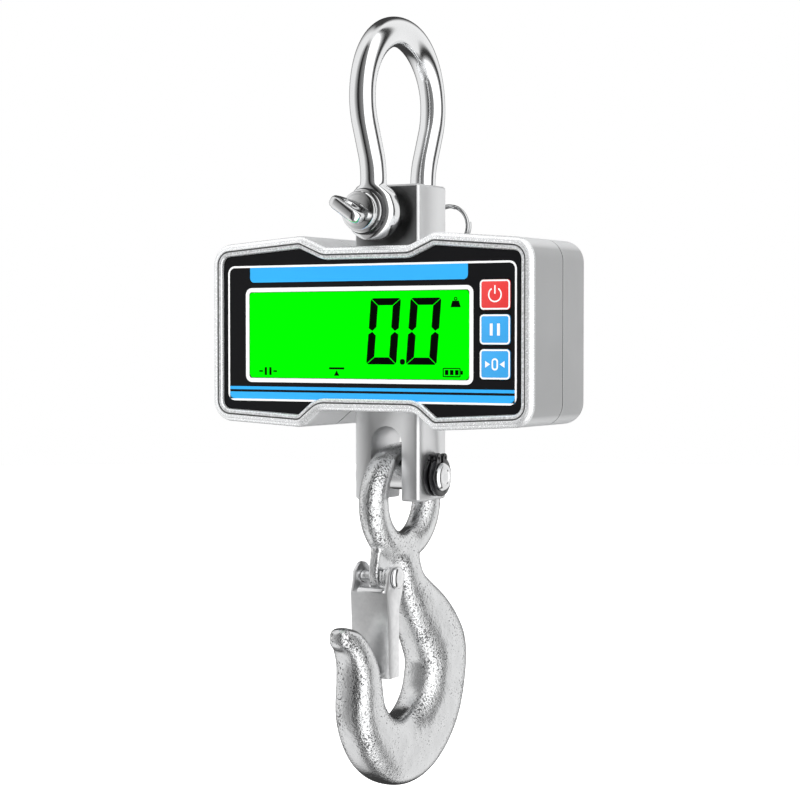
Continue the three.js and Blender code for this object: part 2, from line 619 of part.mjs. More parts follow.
// Folded sheet channel on a rivet through the hook's lug.
function latch() {
  const [front, back] = [LATCH_FRONT, LATCH_FRONT + LATCH_LEAN + LATCH_DEEP];
  const low = RIVET_Z - LATCH_L;
  const step = RIVET_Z - 7;
  const arc = Array.from({ length: 9 }, (_, k) => {
    const angle = Math.PI * (1 - k / 8);
    return [RIVET_Y + LATCH_EAR_R * Math.cos(angle), RIVET_Z + LATCH_EAR_R * Math.sin(angle), 0];
  });
  const side = [...arc, [RIVET_Y + LATCH_EAR_R - 1, step, 2], [back, step - 9, 3], [back, low, 0]];
  side.push([front + LATCH_LEAN, low, 0], [front, step, 1.5]);
  const outline = new THREE.Shape(roundedCorners(side, 3));
  const cheeks = prism('x', outline, -LATCH_W / 2, LATCH_W / 2);
  const inside = new THREE.Shape([
    [front + LATCH_SHEET, step], [front - LATCH_DEEP, step], [front - LATCH_DEEP, RIVET_Z + 20],
    [back + 20, RIVET_Z + 20], [back + 20, low - 5], [front + LATCH_LEAN + LATCH_SHEET, low - 5],
  ].map(([y, z]) => new THREE.Vector2(y, z)));
  const hollow = prism('x', inside, -LATCH_W / 2 + LATCH_SHEET, LATCH_W / 2 - LATCH_SHEET);
  const bore = rod('x', RIVET_D + 2 * GAP, -LATCH_W, LATCH_W, [0, RIVET_Y, RIVET_Z], 16);
  const geometry = carve([cheeks], [hollow, bore]);
  add('latch', geometry.translate(0, BLOCK_Y, HOOK_Z), 'zincSheet');

  const [w, r, h] = [LATCH_W / 2 + GAP, RIVET_D / 2, RIVET_HEAD_D / 2];
  const half = [[w + 2, 0], [w + 2, h * 0.45], [w + 1.2, h * 0.85], [w + 0.3, h], [w, h], [w, r]];
  const profile = [...half.map(([x, radius]) => [-x, radius]), ...half.reverse()];
  add('latch_rivet', turned('x', profile, [0, BLOCK_Y + RIVET_Y, HOOK_Z + RIVET_Z], 16), 'zinc');

  const coil = [];
  const turns = 3;
  for (let k = 0; k <= turns * 10; k += 1) {
    const angle = (-0.5 + k / 10) * 2 * Math.PI;
    const x = LATCH_LUG_T / 2 + 1.1 + (k / 10) * (SPRING_WIRE + 0.28);
    coil.push([x, RIVET_Y + SPRING_R * Math.cos(angle), RIVET_Z + SPRING_R * Math.sin(angle)]);
  }
  const legX = coil.at(-1)[0];
  const points = [
    [coil[0][0], RIVET_Y - SPRING_R, RIVET_Z + 3.5],
    ...coil,
    [legX, RIVET_Y - SPRING_R - 1, RIVET_Z - 5],
    [legX, front + 3.1, RIVET_Z - 22],
  ];
  const wire = tube(points, SPRING_WIRE, 40, 5);
  add('latch_spring', wire.translate(0, BLOCK_Y, HOOK_Z), 'stainless');
}

// Housing -----------------------------------------------------------------------------------------

// Front outline of the housing, moved inwards by an inset, as corner points with their radii.
function housingCorners(inset) {
  const w = HOUSING_W / 2;
  const right = [
    [NOTCH_TOP_X, NOTCH_TOP, -SHOULDER_R],
    [SHOULDER_X, SHOULDER_TOP, SHOULDER_R],
    [w, CORNER_TOP, CORNER_R],
    [w, -CORNER_LOW, CORNER_R],
    [SHOULDER_X, -SHOULDER_LOW, SHOULDER_R],
    [NOTCH_LOW_X, -NOTCH_LOW, -SHOULDER_R],
  ];
  const all = [...right, ...right.map(([x, z, r]) => [-x, z, r]).reverse()];
  return all.map(([x, z, r], i) => {
    const here = new THREE.Vector2(x, z);
    const before = new THREE.Vector2(...all.at(i - 1)).sub(here).normalize();
    const after = new THREE.Vector2(...all[(i + 1) % all.length]).sub(here).normalize();
    const half = Math.acos(before.dot(after)) / 2;
    const inward = before.add(after).normalize().multiplyScalar(Math.sign(r) * (inset / Math.sin(half)));
    here.add(inward);
    return [here.x, here.y + MIDDLE_Z, Math.max(Math.abs(r) - Math.sign(r) * inset, 0.5)];
  });
}

function housingShape(inset, steps = 4) {
  return new THREE.Shape(roundedCorners(housingCorners(inset), steps));
}

const BOSS_PLACES = [[1, CORNER_TOP], [-1, CORNER_TOP], [1, -CORNER_LOW], [-1, -CORNER_LOW]].map(
  ([side, z]) => [side * (HOUSING_W / 2 - BOSS_INSET), MIDDLE_Z + z - Math.sign(z) * BOSS_INSET],
);

const BOARD_SCREWS = [[-77.6, 31], [-77.6, -29], [KEY_X - 2, 32], [KEY_X - 2, -29.5]];

const KEYS = [
  ['power', 0, 'redKey'],
  ['hold', 1, 'blueKey'],
  ['tare', 2, 'blueKey'],
].map(([label, k, finish]) => ({ label, finish, z: MIDDLE_Z + KEY_TOP_Z - k * KEY_PITCH }));

const SOCKET = [62, MIDDLE_Z - 22];

// Room for the block through the top and bottom walls of both shells.
function blockRoom() {
  const w = BLOCK_W / 2 + SEAL_W;
  return box(-w, w, BLOCK_FRONT - SEAL_W, BLOCK_BACK + SEAL_W, MIDDLE_Z - REACH, MIDDLE_Z + REACH);
}

function windowShape(spare) {
  return roundRect(WINDOW_W + 2 * spare, WINDOW_H + 2 * spare, 3.5, WINDOW_X, WINDOW_Z);
}

function keyShape(key, spare) {
  return roundRect(KEY_W + 2 * spare, KEY_H + 2 * spare, 2, KEY_X, key.z);
}

function frontShell() {
  const outer = prism('y', housingShape(0), HOUSING_Y, SEAM_Y + 8, FRONT_EDGE_R, 2);
  const bosses = BOSS_PLACES.map(([x, z]) => rod('y', BOSS_D, INNER_FRONT - 1, SEAM_Y - GAP, [x, 0, z], 12));
  const posts = BOARD_SCREWS.map(([x, z]) => (
    rod('y', 6, INNER_FRONT - 1, DISPLAY_BOARD_Y - GAP, [x, 0, MIDDLE_Z + z], 12)
  ));
  const hollow = prism('y', housingShape(WALL), INNER_FRONT, SEAM_Y + 20);
  const trimmed = carve([outer], [
    hollow,
    box(-HOUSING_W, HOUSING_W, SEAM_Y, REACH, MIDDLE_Z - REACH, MIDDLE_Z + REACH),
    prism('y', housingShape(RIM_W), HOUSING_Y - 5, PANEL_Y),
  ]);
  const openings = [
    prism('y', windowShape(GAP), HOUSING_Y, INNER_FRONT + 1),
    ...KEYS.map((key) => prism('y', keyShape(key, GAP), HOUSING_Y, INNER_FRONT + 1)),
    blockRoom(),
    ...BOSS_PLACES.map(([x, z]) => rod('y', COVER_SCREW_D + 2 * GAP, SEAM_Y - 12, SEAM_Y + 1, [x, 0, z], 12)),
    ...BOARD_SCREWS.map(([x, z]) => (
      rod('y', 2.2 + 2 * GAP, INNER_FRONT, DISPLAY_BOARD_Y + 1, [x, 0, MIDDLE_Z + z], 10)
    )),
  ];
  add('front_shell', carve([trimmed, ...bosses, ...posts], openings), 'alloy');
}

function rearCover() {
  const outer = prism('y', housingShape(0), SEAM_Y - 8, BACK_Y, BACK_EDGE_R, 2);
  const trimmed = carve([outer], [
    prism('y', housingShape(WALL), SEAM_Y - 20, INNER_BACK),
    box(-HOUSING_W, HOUSING_W, -REACH, SEAM_Y + GAP, MIDDLE_Z - REACH, MIDDLE_Z + REACH),
  ]);
  const bosses = BOSS_PLACES.map(([x, z]) => rod('y', BOSS_D, SEAM_Y + GAP, INNER_BACK + 1, [x, 0, z], 12));
  const openings = [
    blockRoom(),
    ...BOSS_PLACES.map(([x, z]) => rod('y', COVER_SCREW_D + 2 * GAP, SEAM_Y - 1, BACK_Y + 1, [x, 0, z], 12)),
    ...BOSS_PLACES.map(([x, z]) => rod('y', COVER_HEAD_D + 2 * GAP, BACK_Y - 3, BACK_Y + 1, [x, 0, z], 16)),
    ...BRACKET_PLACES.map((at) => rod('y', BRACKET_SCREW_D + 2 * GAP, INNER_BACK - 1, BACK_Y + 1, at, 12)),
    rod('y', SOCKET_D + 2 * GAP, INNER_BACK - 1, BACK_Y + 1, [SOCKET[0], 0, SOCKET[1]], 20),
  ];
  add('rear_cover', carve([trimmed, ...bosses], openings), 'alloy');

  BOSS_PLACES.forEach(([x, z], k) => {
    const [r, h] = [COVER_SCREW_D / 2, COVER_HEAD_D / 2];
    const [seat, face] = [BACK_Y - 3 + GAP, BACK_Y - 0.4];
    const profile = [[SEAM_Y - 10, 0], [SEAM_Y - 10, r - 0.5], [SEAM_Y - 9.4, r], [seat, r], [seat, h]];
    profile.push([face - 0.8, h], [face, h - 0.9], [face, 0]);
    add(`cover_screw_${k + 1}`, turned('y', profile, [x, 0, z], 14), 'stainless');
  });

  const gone = BLOCK_W / 2 + SEAL_W + 2;
  [['left', -1], ['right', 1]].forEach(([place, side]) => {
    const ring = prism('y', housingShape(WALL + GAP), SEAM_Y - 1.4, SEAM_Y + 1.6);
    const inner = prism('y', housingShape(WALL + GAP + 1), SEAM_Y - 5, SEAM_Y + 5);
    const [x0, x1] = side < 0 ? [-gone, HOUSING_W] : [-HOUSING_W, gone];
    const rest = box(x0, x1, -REACH, REACH, MIDDLE_Z - REACH, MIDDLE_Z + REACH);
    add(`shell_gasket_${place}`, carve([ring], [inner, rest]), 'rubber');
  });
}

// Rubber collars that fill the room round the block at the top and bottom walls.
function seals() {
  const ring = (z0, z1) => {
    const outer = roundRect(BLOCK_W + 2 * (SEAL_W - GAP), BLOCK_D + 2 * (SEAL_W - GAP), 0.8, 0, BLOCK_Y);
    const inner = box(
      -BLOCK_W / 2 - GAP, BLOCK_W / 2 + GAP, BLOCK_FRONT - GAP, BLOCK_BACK + GAP, z0 - 1, z1 + 1,
    );
    return carve([prism('z', outer, z0, z1)], [inner]);
  };
  const top = MIDDLE_Z + NOTCH_TOP - 0.5;
  const low = MIDDLE_Z - NOTCH_LOW + 0.5;
  add('seal_top', ring(top - SEAL_H, top), 'rubber');
  add('seal_bottom', ring(low, low + SEAL_H), 'rubber');
}

function panel() {
  const film = prism('y', housingShape(RIM_W + GAP), OVERLAY_FRONT, OVERLAY_FRONT + OVERLAY_T);
  const openings = [prism('y', windowShape(GAP), HOUSING_Y - 5, INNER_FRONT)];
  openings.push(...KEYS.map((key) => prism('y', keyShape(key, GAP), HOUSING_Y - 5, INNER_FRONT)));
  add('overlay_panel', carve([film], openings), 'overlay');
  add('display_window', prism('y', windowShape(0), OVERLAY_FRONT, OVERLAY_FRONT + WINDOW_T), 'clear');
  KEYS.forEach((key) => {
    const front = OVERLAY_FRONT - KEY_PROUD;
    add(`key_${key.label}`, prism('y', keyShape(key, 0), front, front + KEY_DEEP, 0.25, 1), key.finish);
    const plunger = front + KEY_DEEP + KEY_TRAVEL + GAP;
    const can = DISPLAY_BOARD_Y - GAP;
    const stem = rod('y', 3.4, plunger, can, [KEY_X, 0, key.z], 12);
    const body = box(KEY_X - 3, KEY_X + 3, plunger + 1, can, key.z - 3, key.z + 3);
    add(`key_switch_${key.label}`, carve([body, stem]), 'blackPlastic');
  });
}

// Display and electronics -------------------------------------------------------------------------

function display() {
  const [x, z] = [WINDOW_X, WINDOW_Z];
  const [w, h] = [WINDOW_W / 2, WINDOW_H / 2];
  const back = LCD_Y + LCD_T;
  add('lcd_glass', box(x - w, x + w, LCD_Y + GAP, back, z - h, z + h), 'clear');
  const light = back + GAP;
  add('lcd_backlight', box(x - w, x + w, light, light + BACKLIGHT_T - GAP, z - h, z + h), 'whitePlastic');
  const [fw, fh] = [w + LCD_FRAME_W, h + LCD_FRAME_W];
  const frame = box(x - fw, x + fw, LCD_Y, DISPLAY_BOARD_Y - GAP, z - fh, z + fh);
  const room = box(x - w - GAP, x + w + GAP, LCD_Y - 5, DISPLAY_BOARD_Y + 5, z - h - GAP, z + h + GAP);
  add('lcd_frame', carve([frame], [room]), 'blackPlastic');

  const [y0, y1] = [DISPLAY_BOARD_Y, DISPLAY_BOARD_Y + BOARD_T];
  const edge = HOUSING_W / 2 - BOSS_INSET - BOSS_D / 2 - 0.8;
  const board = prism('y', roundRect(2 * edge, 68, 1.5, 0, MIDDLE_Z + 1), y0, y1);
  const holes = BOARD_SCREWS.map(([sx, sz]) => rod('y', 2.8, y0 - 1, y1 + 1, [sx, 0, MIDDLE_Z + sz], 10));
  add('display_board', carve([board], holes), 'board');
  BOARD_SCREWS.forEach(([sx, sz], k) => {
    const tip = INNER_FRONT + 1;
    const seat = y1 + GAP;
    const profile = [[tip, 0], [tip, 1.1], [seat, 1.1], [seat, 2.6], [seat + 1, 2.6], [seat + 1.7, 1.8]];
    profile.push([seat + 1.7, 0]);
    add(`board_screw_${k + 1}`, turned('y', profile, [sx, 0, MIDDLE_Z + sz], 10), 'stainless');
  });
  const sensor = [WINDOW_X + WINDOW_W / 2 + 1, MIDDLE_Z - 31];
  const lens = rod('y', 4, INNER_FRONT + GAP, y0 - GAP, [sensor[0], 0, sensor[1]], 12);
  const base = box(sensor[0] - 3, sensor[0] + 3, y0 - 3, y0 - GAP, sensor[1] - 2.6, sensor[1] + 2.6);
  add('ir_receiver', carve([base, lens]), 'blackPlastic');
}

function battery() {
  const [z0, z1] = [MIDDLE_Z - CELL_L / 2, MIDDLE_Z + CELL_L / 2];
  const places = [CELL_X, CELL_X - CELL_PITCH];
  places.forEach((x, k) => {
    const r = CELL_D / 2;
    const profile = [[z0, 0], [z0, r - 0.6], [z0 + 0.6, r], [z1 - 2, r], [z1 - 1.4, r - 0.6]];
    profile.push([z1 - 1.4, 2.8], [z1, 2.8], [z1, 0]);
    const cell = turned('y', profile, [0, 0, 0], 16);
    cell.rotateX(Math.PI / 2).translate(x, CELL_Y, 0);
    add(`battery_cell_${k + 1}`, cell, 'batteryWrap');
  });
  const r = CELL_D / 2 + GAP;
  const [x0, x1] = [places[1] - r - TRAY_WALL, places[0] + r + TRAY_WALL];
  const cradle = box(x0, x1, CELL_Y - 2, INNER_BACK - GAP, z0 - 2 * TRAY_WALL, z1 + 2 * TRAY_WALL);
  const pockets = places.map((x) => {
    const cut = rod('y', 2 * r, z0 - GAP, z1 + GAP, [0, 0, 0], 16);
    return cut.rotateX(Math.PI / 2).translate(x, CELL_Y, 0);
  });
  add('battery_tray', carve([cradle], pockets), 'blackPlastic');
}

function mainBoard() {
  const x1 = HOUSING_W / 2 - BOSS_INSET - BOSS_D / 2 - 1;
  const x0 = x1 - MAIN_BOARD_W;
  const y1 = INNER_BACK - GAP - STANDOFF_L - GAP;
  const y0 = y1 - BOARD_T;
  const [z0, z1] = [MIDDLE_Z - MAIN_BOARD_H / 2, MIDDLE_Z + MAIN_BOARD_H / 2];
  add('main_board', box(x0, x1, y0, y1, z0, z1), 'board');
  let k = 0;
  for (const x of [x0 + 4, x1 - 4]) {
    for (const z of [z0 + 4, z1 - 4]) {
      k += 1;
      const stand = rod('y', STANDOFF_D, y1 + GAP, INNER_BACK - GAP, [x, 0, z], 6);
      add(`board_standoff_${k}`, stand, 'brass');
    }
  }
  const r = SOCKET_D / 2;
  const barrel = rod('y', SOCKET_D, y1 + GAP, BACK_Y - 0.5, [SOCKET[0], 0, SOCKET[1]], 16);
  const well = rod('y', SOCKET_D - 3, BACK_Y - 9, BACK_Y + 1, [SOCKET[0], 0, SOCKET[1]], 16);
  const foot = box(-r - 1, r + 1, y1 + GAP, INNER_BACK - 3, -r - 1, r + 1).translate(SOCKET[0], 0, SOCKET[1]);
  add('charge_socket', carve([foot, barrel], [well]), 'blackPlastic');
  const cap = [[BACK_Y - 6, 0], [BACK_Y - 6, 2.2], [BACK_Y - 0.2, 2.4], [BACK_Y + GAP, 2.4]];
  cap.push([BACK_Y + GAP, 7.5], [BACK_Y + 1.4, 7.5], [BACK_Y + 2.2, 6.7], [BACK_Y + 2.2, 0]);
  add('charge_plug', turned('y', cap, [SOCKET[0], 0, SOCKET[1]], 20), 'rubber');

  const spacer = box(
    -BLOCK_W / 2 + 2, BLOCK_W / 2 - 2, BLOCK_BACK + GAP, INNER_BACK - GAP, BRACKET_Z - 6, BRACKET_Z + 6,
  );
  const bore = BRACKET_SCREW_D + 2 * GAP;
  const ways = BRACKET_PLACES.map((at) => rod('y', bore, BLOCK_BACK, INNER_BACK, at, 12));
  add('cell_bracket', carve([spacer], ways), 'alloy');
  BRACKET_PLACES.forEach((at, i) => {
    const [p, h] = [BRACKET_SCREW_D / 2, BRACKET_HEAD_D / 2];
    const profile = [[BLOCK_BACK - 9, 0], [BLOCK_BACK - 9, p], [BACK_Y + GAP, p], [BACK_Y + GAP, h]];
    profile.push([BACK_Y + 1.6, h], [BACK_Y + 2.6, h - 1.6], [BACK_Y + 2.6, 0]);
    add(`bracket_screw_${i + 1}`, turned('y', profile, at, 16), 'stainless');
  });

  const trayEdge = CELL_X + CELL_D / 2 + GAP + TRAY_WALL;
  const off = LEAD_D / 2 + GAP;
  const behind = INNER_BACK - LEAD_D - 1.5;
  const leads = {
    cell_lead: [
      [BLOCK_W / 2 + off, 2, MIDDLE_Z - 18], [26, 1, MIDDLE_Z - 17], [36, 2, MIDDLE_Z - 8],
      [42, y0 - off - 3, MIDDLE_Z - 2], [44, y0 - off, MIDDLE_Z + 6],
    ],
    battery_lead: [
      [trayEdge + off, behind, MIDDLE_Z - 12], [-14, behind, MIDDLE_Z - 16],
      [8, behind, MIDDLE_Z - 16], [x0 - 2, behind, MIDDLE_Z - 12], [x0 + 8, y1 + off + 0.4, MIDDLE_Z - 6],
    ],
    display_lead: [
      [50, DISPLAY_BOARD_Y + BOARD_T + off, MIDDLE_Z - 10], [50, DISPLAY_BOARD_Y + 12, MIDDLE_Z - 13],
      [52, -4, MIDDLE_Z - 15], [54, y0 - off, MIDDLE_Z - 12],
    ],
  };
  for (const [name, points] of Object.entries(leads)) add(name, tube(points, LEAD_D, 12, 6), 'rubber');
}

shackle();
shacklePin();
splitRing();
loadCell();
hookPin();
hook();
latch();
frontShell();
rearCover();
seals();
panel();
display();
battery();
mainBoard();

export default scale;
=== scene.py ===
"""Looks of a hanging crane scale: polished shackle, ground steel block, cast housing, galvanised hook.

Metres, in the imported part's own frame: X to the right of the display, Y to the back, Z up.
"""

import json
import logging
import math
from dataclasses import dataclass, field
from enum import Enum
from typing import Any, Callable, Iterable, Sequence

import bmesh
import bpy
from mathutils import Matrix, Vector


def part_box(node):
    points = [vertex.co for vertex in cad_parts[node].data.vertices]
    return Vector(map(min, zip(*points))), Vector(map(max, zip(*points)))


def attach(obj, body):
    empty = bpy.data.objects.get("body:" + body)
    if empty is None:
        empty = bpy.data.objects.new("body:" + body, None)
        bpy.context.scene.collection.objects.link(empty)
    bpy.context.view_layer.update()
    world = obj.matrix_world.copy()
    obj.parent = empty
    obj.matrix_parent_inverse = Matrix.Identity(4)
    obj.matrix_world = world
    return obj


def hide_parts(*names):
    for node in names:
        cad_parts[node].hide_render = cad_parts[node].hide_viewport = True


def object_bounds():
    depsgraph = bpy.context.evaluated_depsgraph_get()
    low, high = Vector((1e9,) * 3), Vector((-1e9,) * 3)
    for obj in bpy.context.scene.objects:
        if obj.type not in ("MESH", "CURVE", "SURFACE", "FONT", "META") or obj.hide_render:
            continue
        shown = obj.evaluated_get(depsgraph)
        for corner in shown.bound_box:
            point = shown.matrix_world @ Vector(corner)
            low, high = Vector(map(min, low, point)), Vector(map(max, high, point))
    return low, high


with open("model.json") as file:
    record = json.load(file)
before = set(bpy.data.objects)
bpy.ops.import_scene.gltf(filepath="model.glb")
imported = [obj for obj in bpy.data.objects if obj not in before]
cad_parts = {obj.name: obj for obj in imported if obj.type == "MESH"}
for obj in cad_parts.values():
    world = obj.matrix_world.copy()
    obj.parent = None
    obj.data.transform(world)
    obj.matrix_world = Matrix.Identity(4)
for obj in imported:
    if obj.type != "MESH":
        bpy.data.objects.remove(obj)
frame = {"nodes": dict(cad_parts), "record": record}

LOG = logging.getLogger("crane_scale")
MM = 0.001
GAP = 0.3 * MM  # clearance between pieces that touch
WEAR_PATCH = MM / 0.42  # size of the patches where edges are rubbed

Object = bpy.types.Object
Material = bpy.types.Material
Socket = bpy.types.NodeSocket
Nodes = bpy.types.NodeTree
Flat = tuple[float, float]
Place = tuple[float, float, float]
Outline = Sequence[Vector]
Colour = tuple[float, float, float]
CAD_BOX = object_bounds()


# ---- Places read from the frame -----------------------------------------------------------------


def joint_place(name: str) -> Vector:
    """Returns the point that a joint turns about."""
    joints = frame["record"]["behaviour"]["joints"]
    return Vector(next(j["pos_m"] for j in joints if j["name"] == name))


SHACKLE_PIN = joint_place("scale_swing")
HOOK_PIN = joint_place("hook_swing")
RIVET = joint_place("latch_swing")
MIDDLE_Z = SHACKLE_PIN.z - 60 * MM  # middle of the housing


# ---- Node trees ---------------------------------------------------------------------------------


class Tree:
    """Adds nodes to a node tree and joins them."""

    def __init__(self, tree: Nodes) -> None:
        """Keeps the tree that the nodes go into."""
        self.tree = tree

    def add(self, kind: str, feeds: dict[Any, Any] | None = None, **settings: Any) -> bpy.types.Node:
        """Adds a node.

        Args:
            kind: The node's type name.
            feeds: Sockets, or values, for the node's inputs, by name or number.
            settings: The node's own settings.

        Returns:
            The new node.
        """
        node = self.tree.nodes.new(kind)
        for name, value in settings.items():
            setattr(node, name, value)
        for name, value in (feeds or {}).items():
            if isinstance(value, Socket):
                self.tree.links.new(value, node.inputs[name])
            else:
                node.inputs[name].default_value = value
        return node

    def math(self, operation: str, *values: Any) -> Socket:
        """Adds a Math node and returns its output."""
        return self.add("ShaderNodeMath", dict(enumerate(values)), operation=operation).outputs[0]

    def noise(self, vector: Any, scale: Any, detail: float = 3.0, rough: float = 0.55) -> Socket:
        """Adds a noise texture and returns its factor."""
        feeds = {"Vector": vector, "Scale": scale, "Detail": detail, "Roughness": rough}
        return self.add("ShaderNodeTexNoise", feeds).outputs[0]

    def span(self, value: Any, low: float, high: float, to_low: Any = 0.0, to_high: Any = 1.0) -> Socket:
        """Maps a value from one range to another and returns the result."""
        feeds = {0: value, 1: low, 2: high, 3: to_low, 4: to_high}
        return self.add("ShaderNodeMapRange", feeds).outputs[0]

    def mix(self, factor: Any, first: Any, second: Any) -> Socket:
        """Mixes two colours and returns the result."""
        feeds = {0: factor, 6: first, 7: second}
        return self.add("ShaderNodeMix", feeds, data_type="RGBA").outputs[2]


def group(name: str, ins: dict[str, str], outs: dict[str, str]) -> tuple[Tree, Any, Any]:
    """Starts a shader node group with named sockets.

    Args:
        name: The group's name.
        ins: Its inputs and their socket types.
        outs: Its outputs and their socket types.

    Returns:
        The tree, the node with the group's inputs, and the node with its outputs.
    """
    tree = bpy.data.node_groups.new(name, "ShaderNodeTree")
    for label, kind in ins.items():
        tree.interface.new_socket(label, in_out="INPUT", socket_type=kind)
    for label, kind in outs.items():
        tree.interface.new_socket(label, in_out="OUTPUT", socket_type=kind)
    build = Tree(tree)
    return build, build.add("NodeGroupInput"), build.add("NodeGroupOutput")


def grain_group() -> Nodes:
    """Makes the grain that most finishes share: fine grains on slow waves.

    Returns:
        A group with Vector, Scale and Waves in, and Grain and Cloud out, both from 0 to 1.
    """
    number = "NodeSocketFloat"
    ins = {"Vector": "NodeSocketVector", "Scale": number, "Waves": number}
    build, come, go = group("grain", ins, {"Grain": number, "Cloud": number})
    fine = build.noise(come.outputs["Vector"], come.outputs["Scale"], 4.0, 0.62)
    slow = build.noise(come.outputs["Vector"], come.outputs["Waves"], 2.0)
    build.tree.links.new(build.span(fine, 0.28, 0.72), go.inputs["Grain"])
    build.tree.links.new(build.span(slow, 0.3, 0.7), go.inputs["Cloud"])
    return build.tree


def wear_group() -> Nodes:
    """Makes the rubbed edges that the metal finishes share.

    Returns:
        A group with Vector and Amount in, and Mask out, from 0 to 1 on the outer edges.
    """
    number = "NodeSocketFloat"
    build, come, go = group("edge_wear", {"Vector": "NodeSocketVector", "Amount": number}, {"Mask": number})
    point = build.add("ShaderNodeNewGeometry").outputs["Pointiness"]
    edge = build.span(point, 0.52, 0.6)
    patches = build.noise(come.outputs["Vector"], 1 / WEAR_PATCH, 3.0)
    broken = build.span(patches, 0.35, 0.65, 0.35, 1.0)
    masked = build.math("MULTIPLY", edge, broken)
    build.tree.links.new(build.math("MULTIPLY", masked, come.outputs["Amount"]), go.inputs["Mask"])
    return build.tree


GRAIN = grain_group()
WEAR = wear_group()


# ---- Finishes -----------------------------------------------------------------------------------


def shade(colour: Colour, by: float = 1.0) -> tuple[float, float, float, float]:
    """Returns a colour made lighter or darker, with its alpha."""
    return tuple(min(c * by, 1.0) for c in colour) + (1.0,)


@dataclass(frozen=True)
class Finish:
    """A surface finish: one colour that varies, grains with a height, and rubbed edges."""

    name: str
    colour: Colour
    roughness: float
    metallic: float = 0.0
    grain: float = 0.5 * MM  # size of a grain
    height: float = 0.01 * MM  # height of a grain
    waves: float = 20 * MM  # size of the slow changes
    tint: float = 0.06  # how far the colour varies
    spread: float = 0.06  # how far the roughness varies
    stretch: Place = (1.0, 1.0, 1.0)  # squeezes the grain along an axis
    edge: float = 0.0  # rubbed edges
    coat: float = 0.0
    turn: float = 0.0  # anisotropy
    gloss: float = 0.5  # strength of the plain reflection

    def make(self) -> Material:
        """Makes the finish's material, at the first call.

        Returns:
            The new object.
        """
        found = bpy.data.materials.get(self.name)
        if found:
            return found
        material = bpy.data.materials.new(self.name)
        material.use_nodes = True
        material.node_tree.nodes.clear()
        build = Tree(material.node_tree)
        surface = build.add("ShaderNodeBsdfPrincipled")
        surface.inputs["Metallic"].default_value = self.metallic
        surface.inputs["Coat Weight"].default_value = self.coat
        surface.inputs["Coat Roughness"].default_value = 0.12
        surface.inputs["Anisotropic"].default_value = self.turn
        surface.inputs["Specular IOR Level"].default_value = self.gloss
        self.fill(build, surface)
        build.add("ShaderNodeOutputMaterial", {0: surface.outputs[0]})
        return material

    def pattern(self, build: Tree) -> tuple[Any, Any, Any]:
        """Adds the shared grain.

        Args:
            build: The material's tree.

        Returns:
            The place on the piece, the grains and the slow waves.
        """
        place = build.add("ShaderNodeTexCoord").outputs["Object"]
        stretched = build.add("ShaderNodeMapping", {"Vector": place, "Scale": self.stretch}).outputs[0]
        feeds = {"Vector": stretched, "Scale": 1 / self.grain, "Waves": 1 / self.waves}
        node = build.add("ShaderNodeGroup", node_tree=GRAIN)
        for name, value in feeds.items():
            if isinstance(value, float):
                node.inputs[name].default_value = value
            else:
                build.tree.links.new(value, node.inputs[name])
        return place, node.outputs["Grain"], node.outputs["Cloud"]

    def worn(self, build: Tree, place: Any) -> Any:
        """Adds the shared edge wear.

        Args:
            build: The material's tree.
            place: The place on the piece.

        Returns:
            The mask of the rubbed edges.
        """
        node = build.add("ShaderNodeGroup", node_tree=WEAR)
        build.tree.links.new(place, node.inputs["Vector"])
        node.inputs["Amount"].default_value = self.edge
        return node.outputs["Mask"]

    def base(self, build: Tree, grains: Any, waves: Any) -> tuple[Any, Any]:
        """Varies the colour and the roughness with the grain.

        Args:
            build: The material's tree.
            grains: The fine grains.
            waves: The slow waves.

        Returns:
            The colour and the roughness.
        """
        both = build.math("ADD", build.math("MULTIPLY", grains, 0.6), build.math("MULTIPLY", waves, 0.4))
        colour = build.mix(both, shade(self.colour, 1 - self.tint), shade(self.colour, 1 + self.tint))
        return colour, self.rough(build, both)

    def rough(self, build: Tree, share: Any) -> Any:
        """Returns the roughness, from its smoothest at a share of 0 to its roughest at 1."""
        return build.span(share, 0.0, 1.0, self.roughness - self.spread, self.roughness + self.spread)

    def fill(self, build: Tree, surface: bpy.types.Node) -> None:
        """Feeds the shader's colour, roughness and normal.

        Args:
            build: The material's tree.
            surface: Its Principled shader.
        """
        place, grains, waves = self.pattern(build)
        colour, rough = self.base(build, grains, waves)
        if self.edge > 0:
            rubbed = self.worn(build, place)
            colour = build.mix(rubbed, colour, shade(self.colour, 1.35))
            rough = build.math("SUBTRACT", rough, build.math("MULTIPLY", rubbed, 0.12))
        self.relief(build, surface, grains)
        build.tree.links.new(colour, surface.inputs["Base Color"])
        build.tree.links.new(build.math("MAXIMUM", rough, 0.03), surface.inputs["Roughness"])

    def relief(self, build: Tree, surface: bpy.types.Node, height: Any) -> None:
        """Feeds the shader's normal.

        Args:
            build: The material's tree.
            surface: Its Principled shader.
            height: Height of the surface in grain heights.
        """
        feeds = {"Strength": 1.0, "Distance": self.height, "Height": height}
        bump = build.add("ShaderNodeBump", feeds)
        build.tree.links.new(bump.outputs[0], surface.inputs["Normal"])


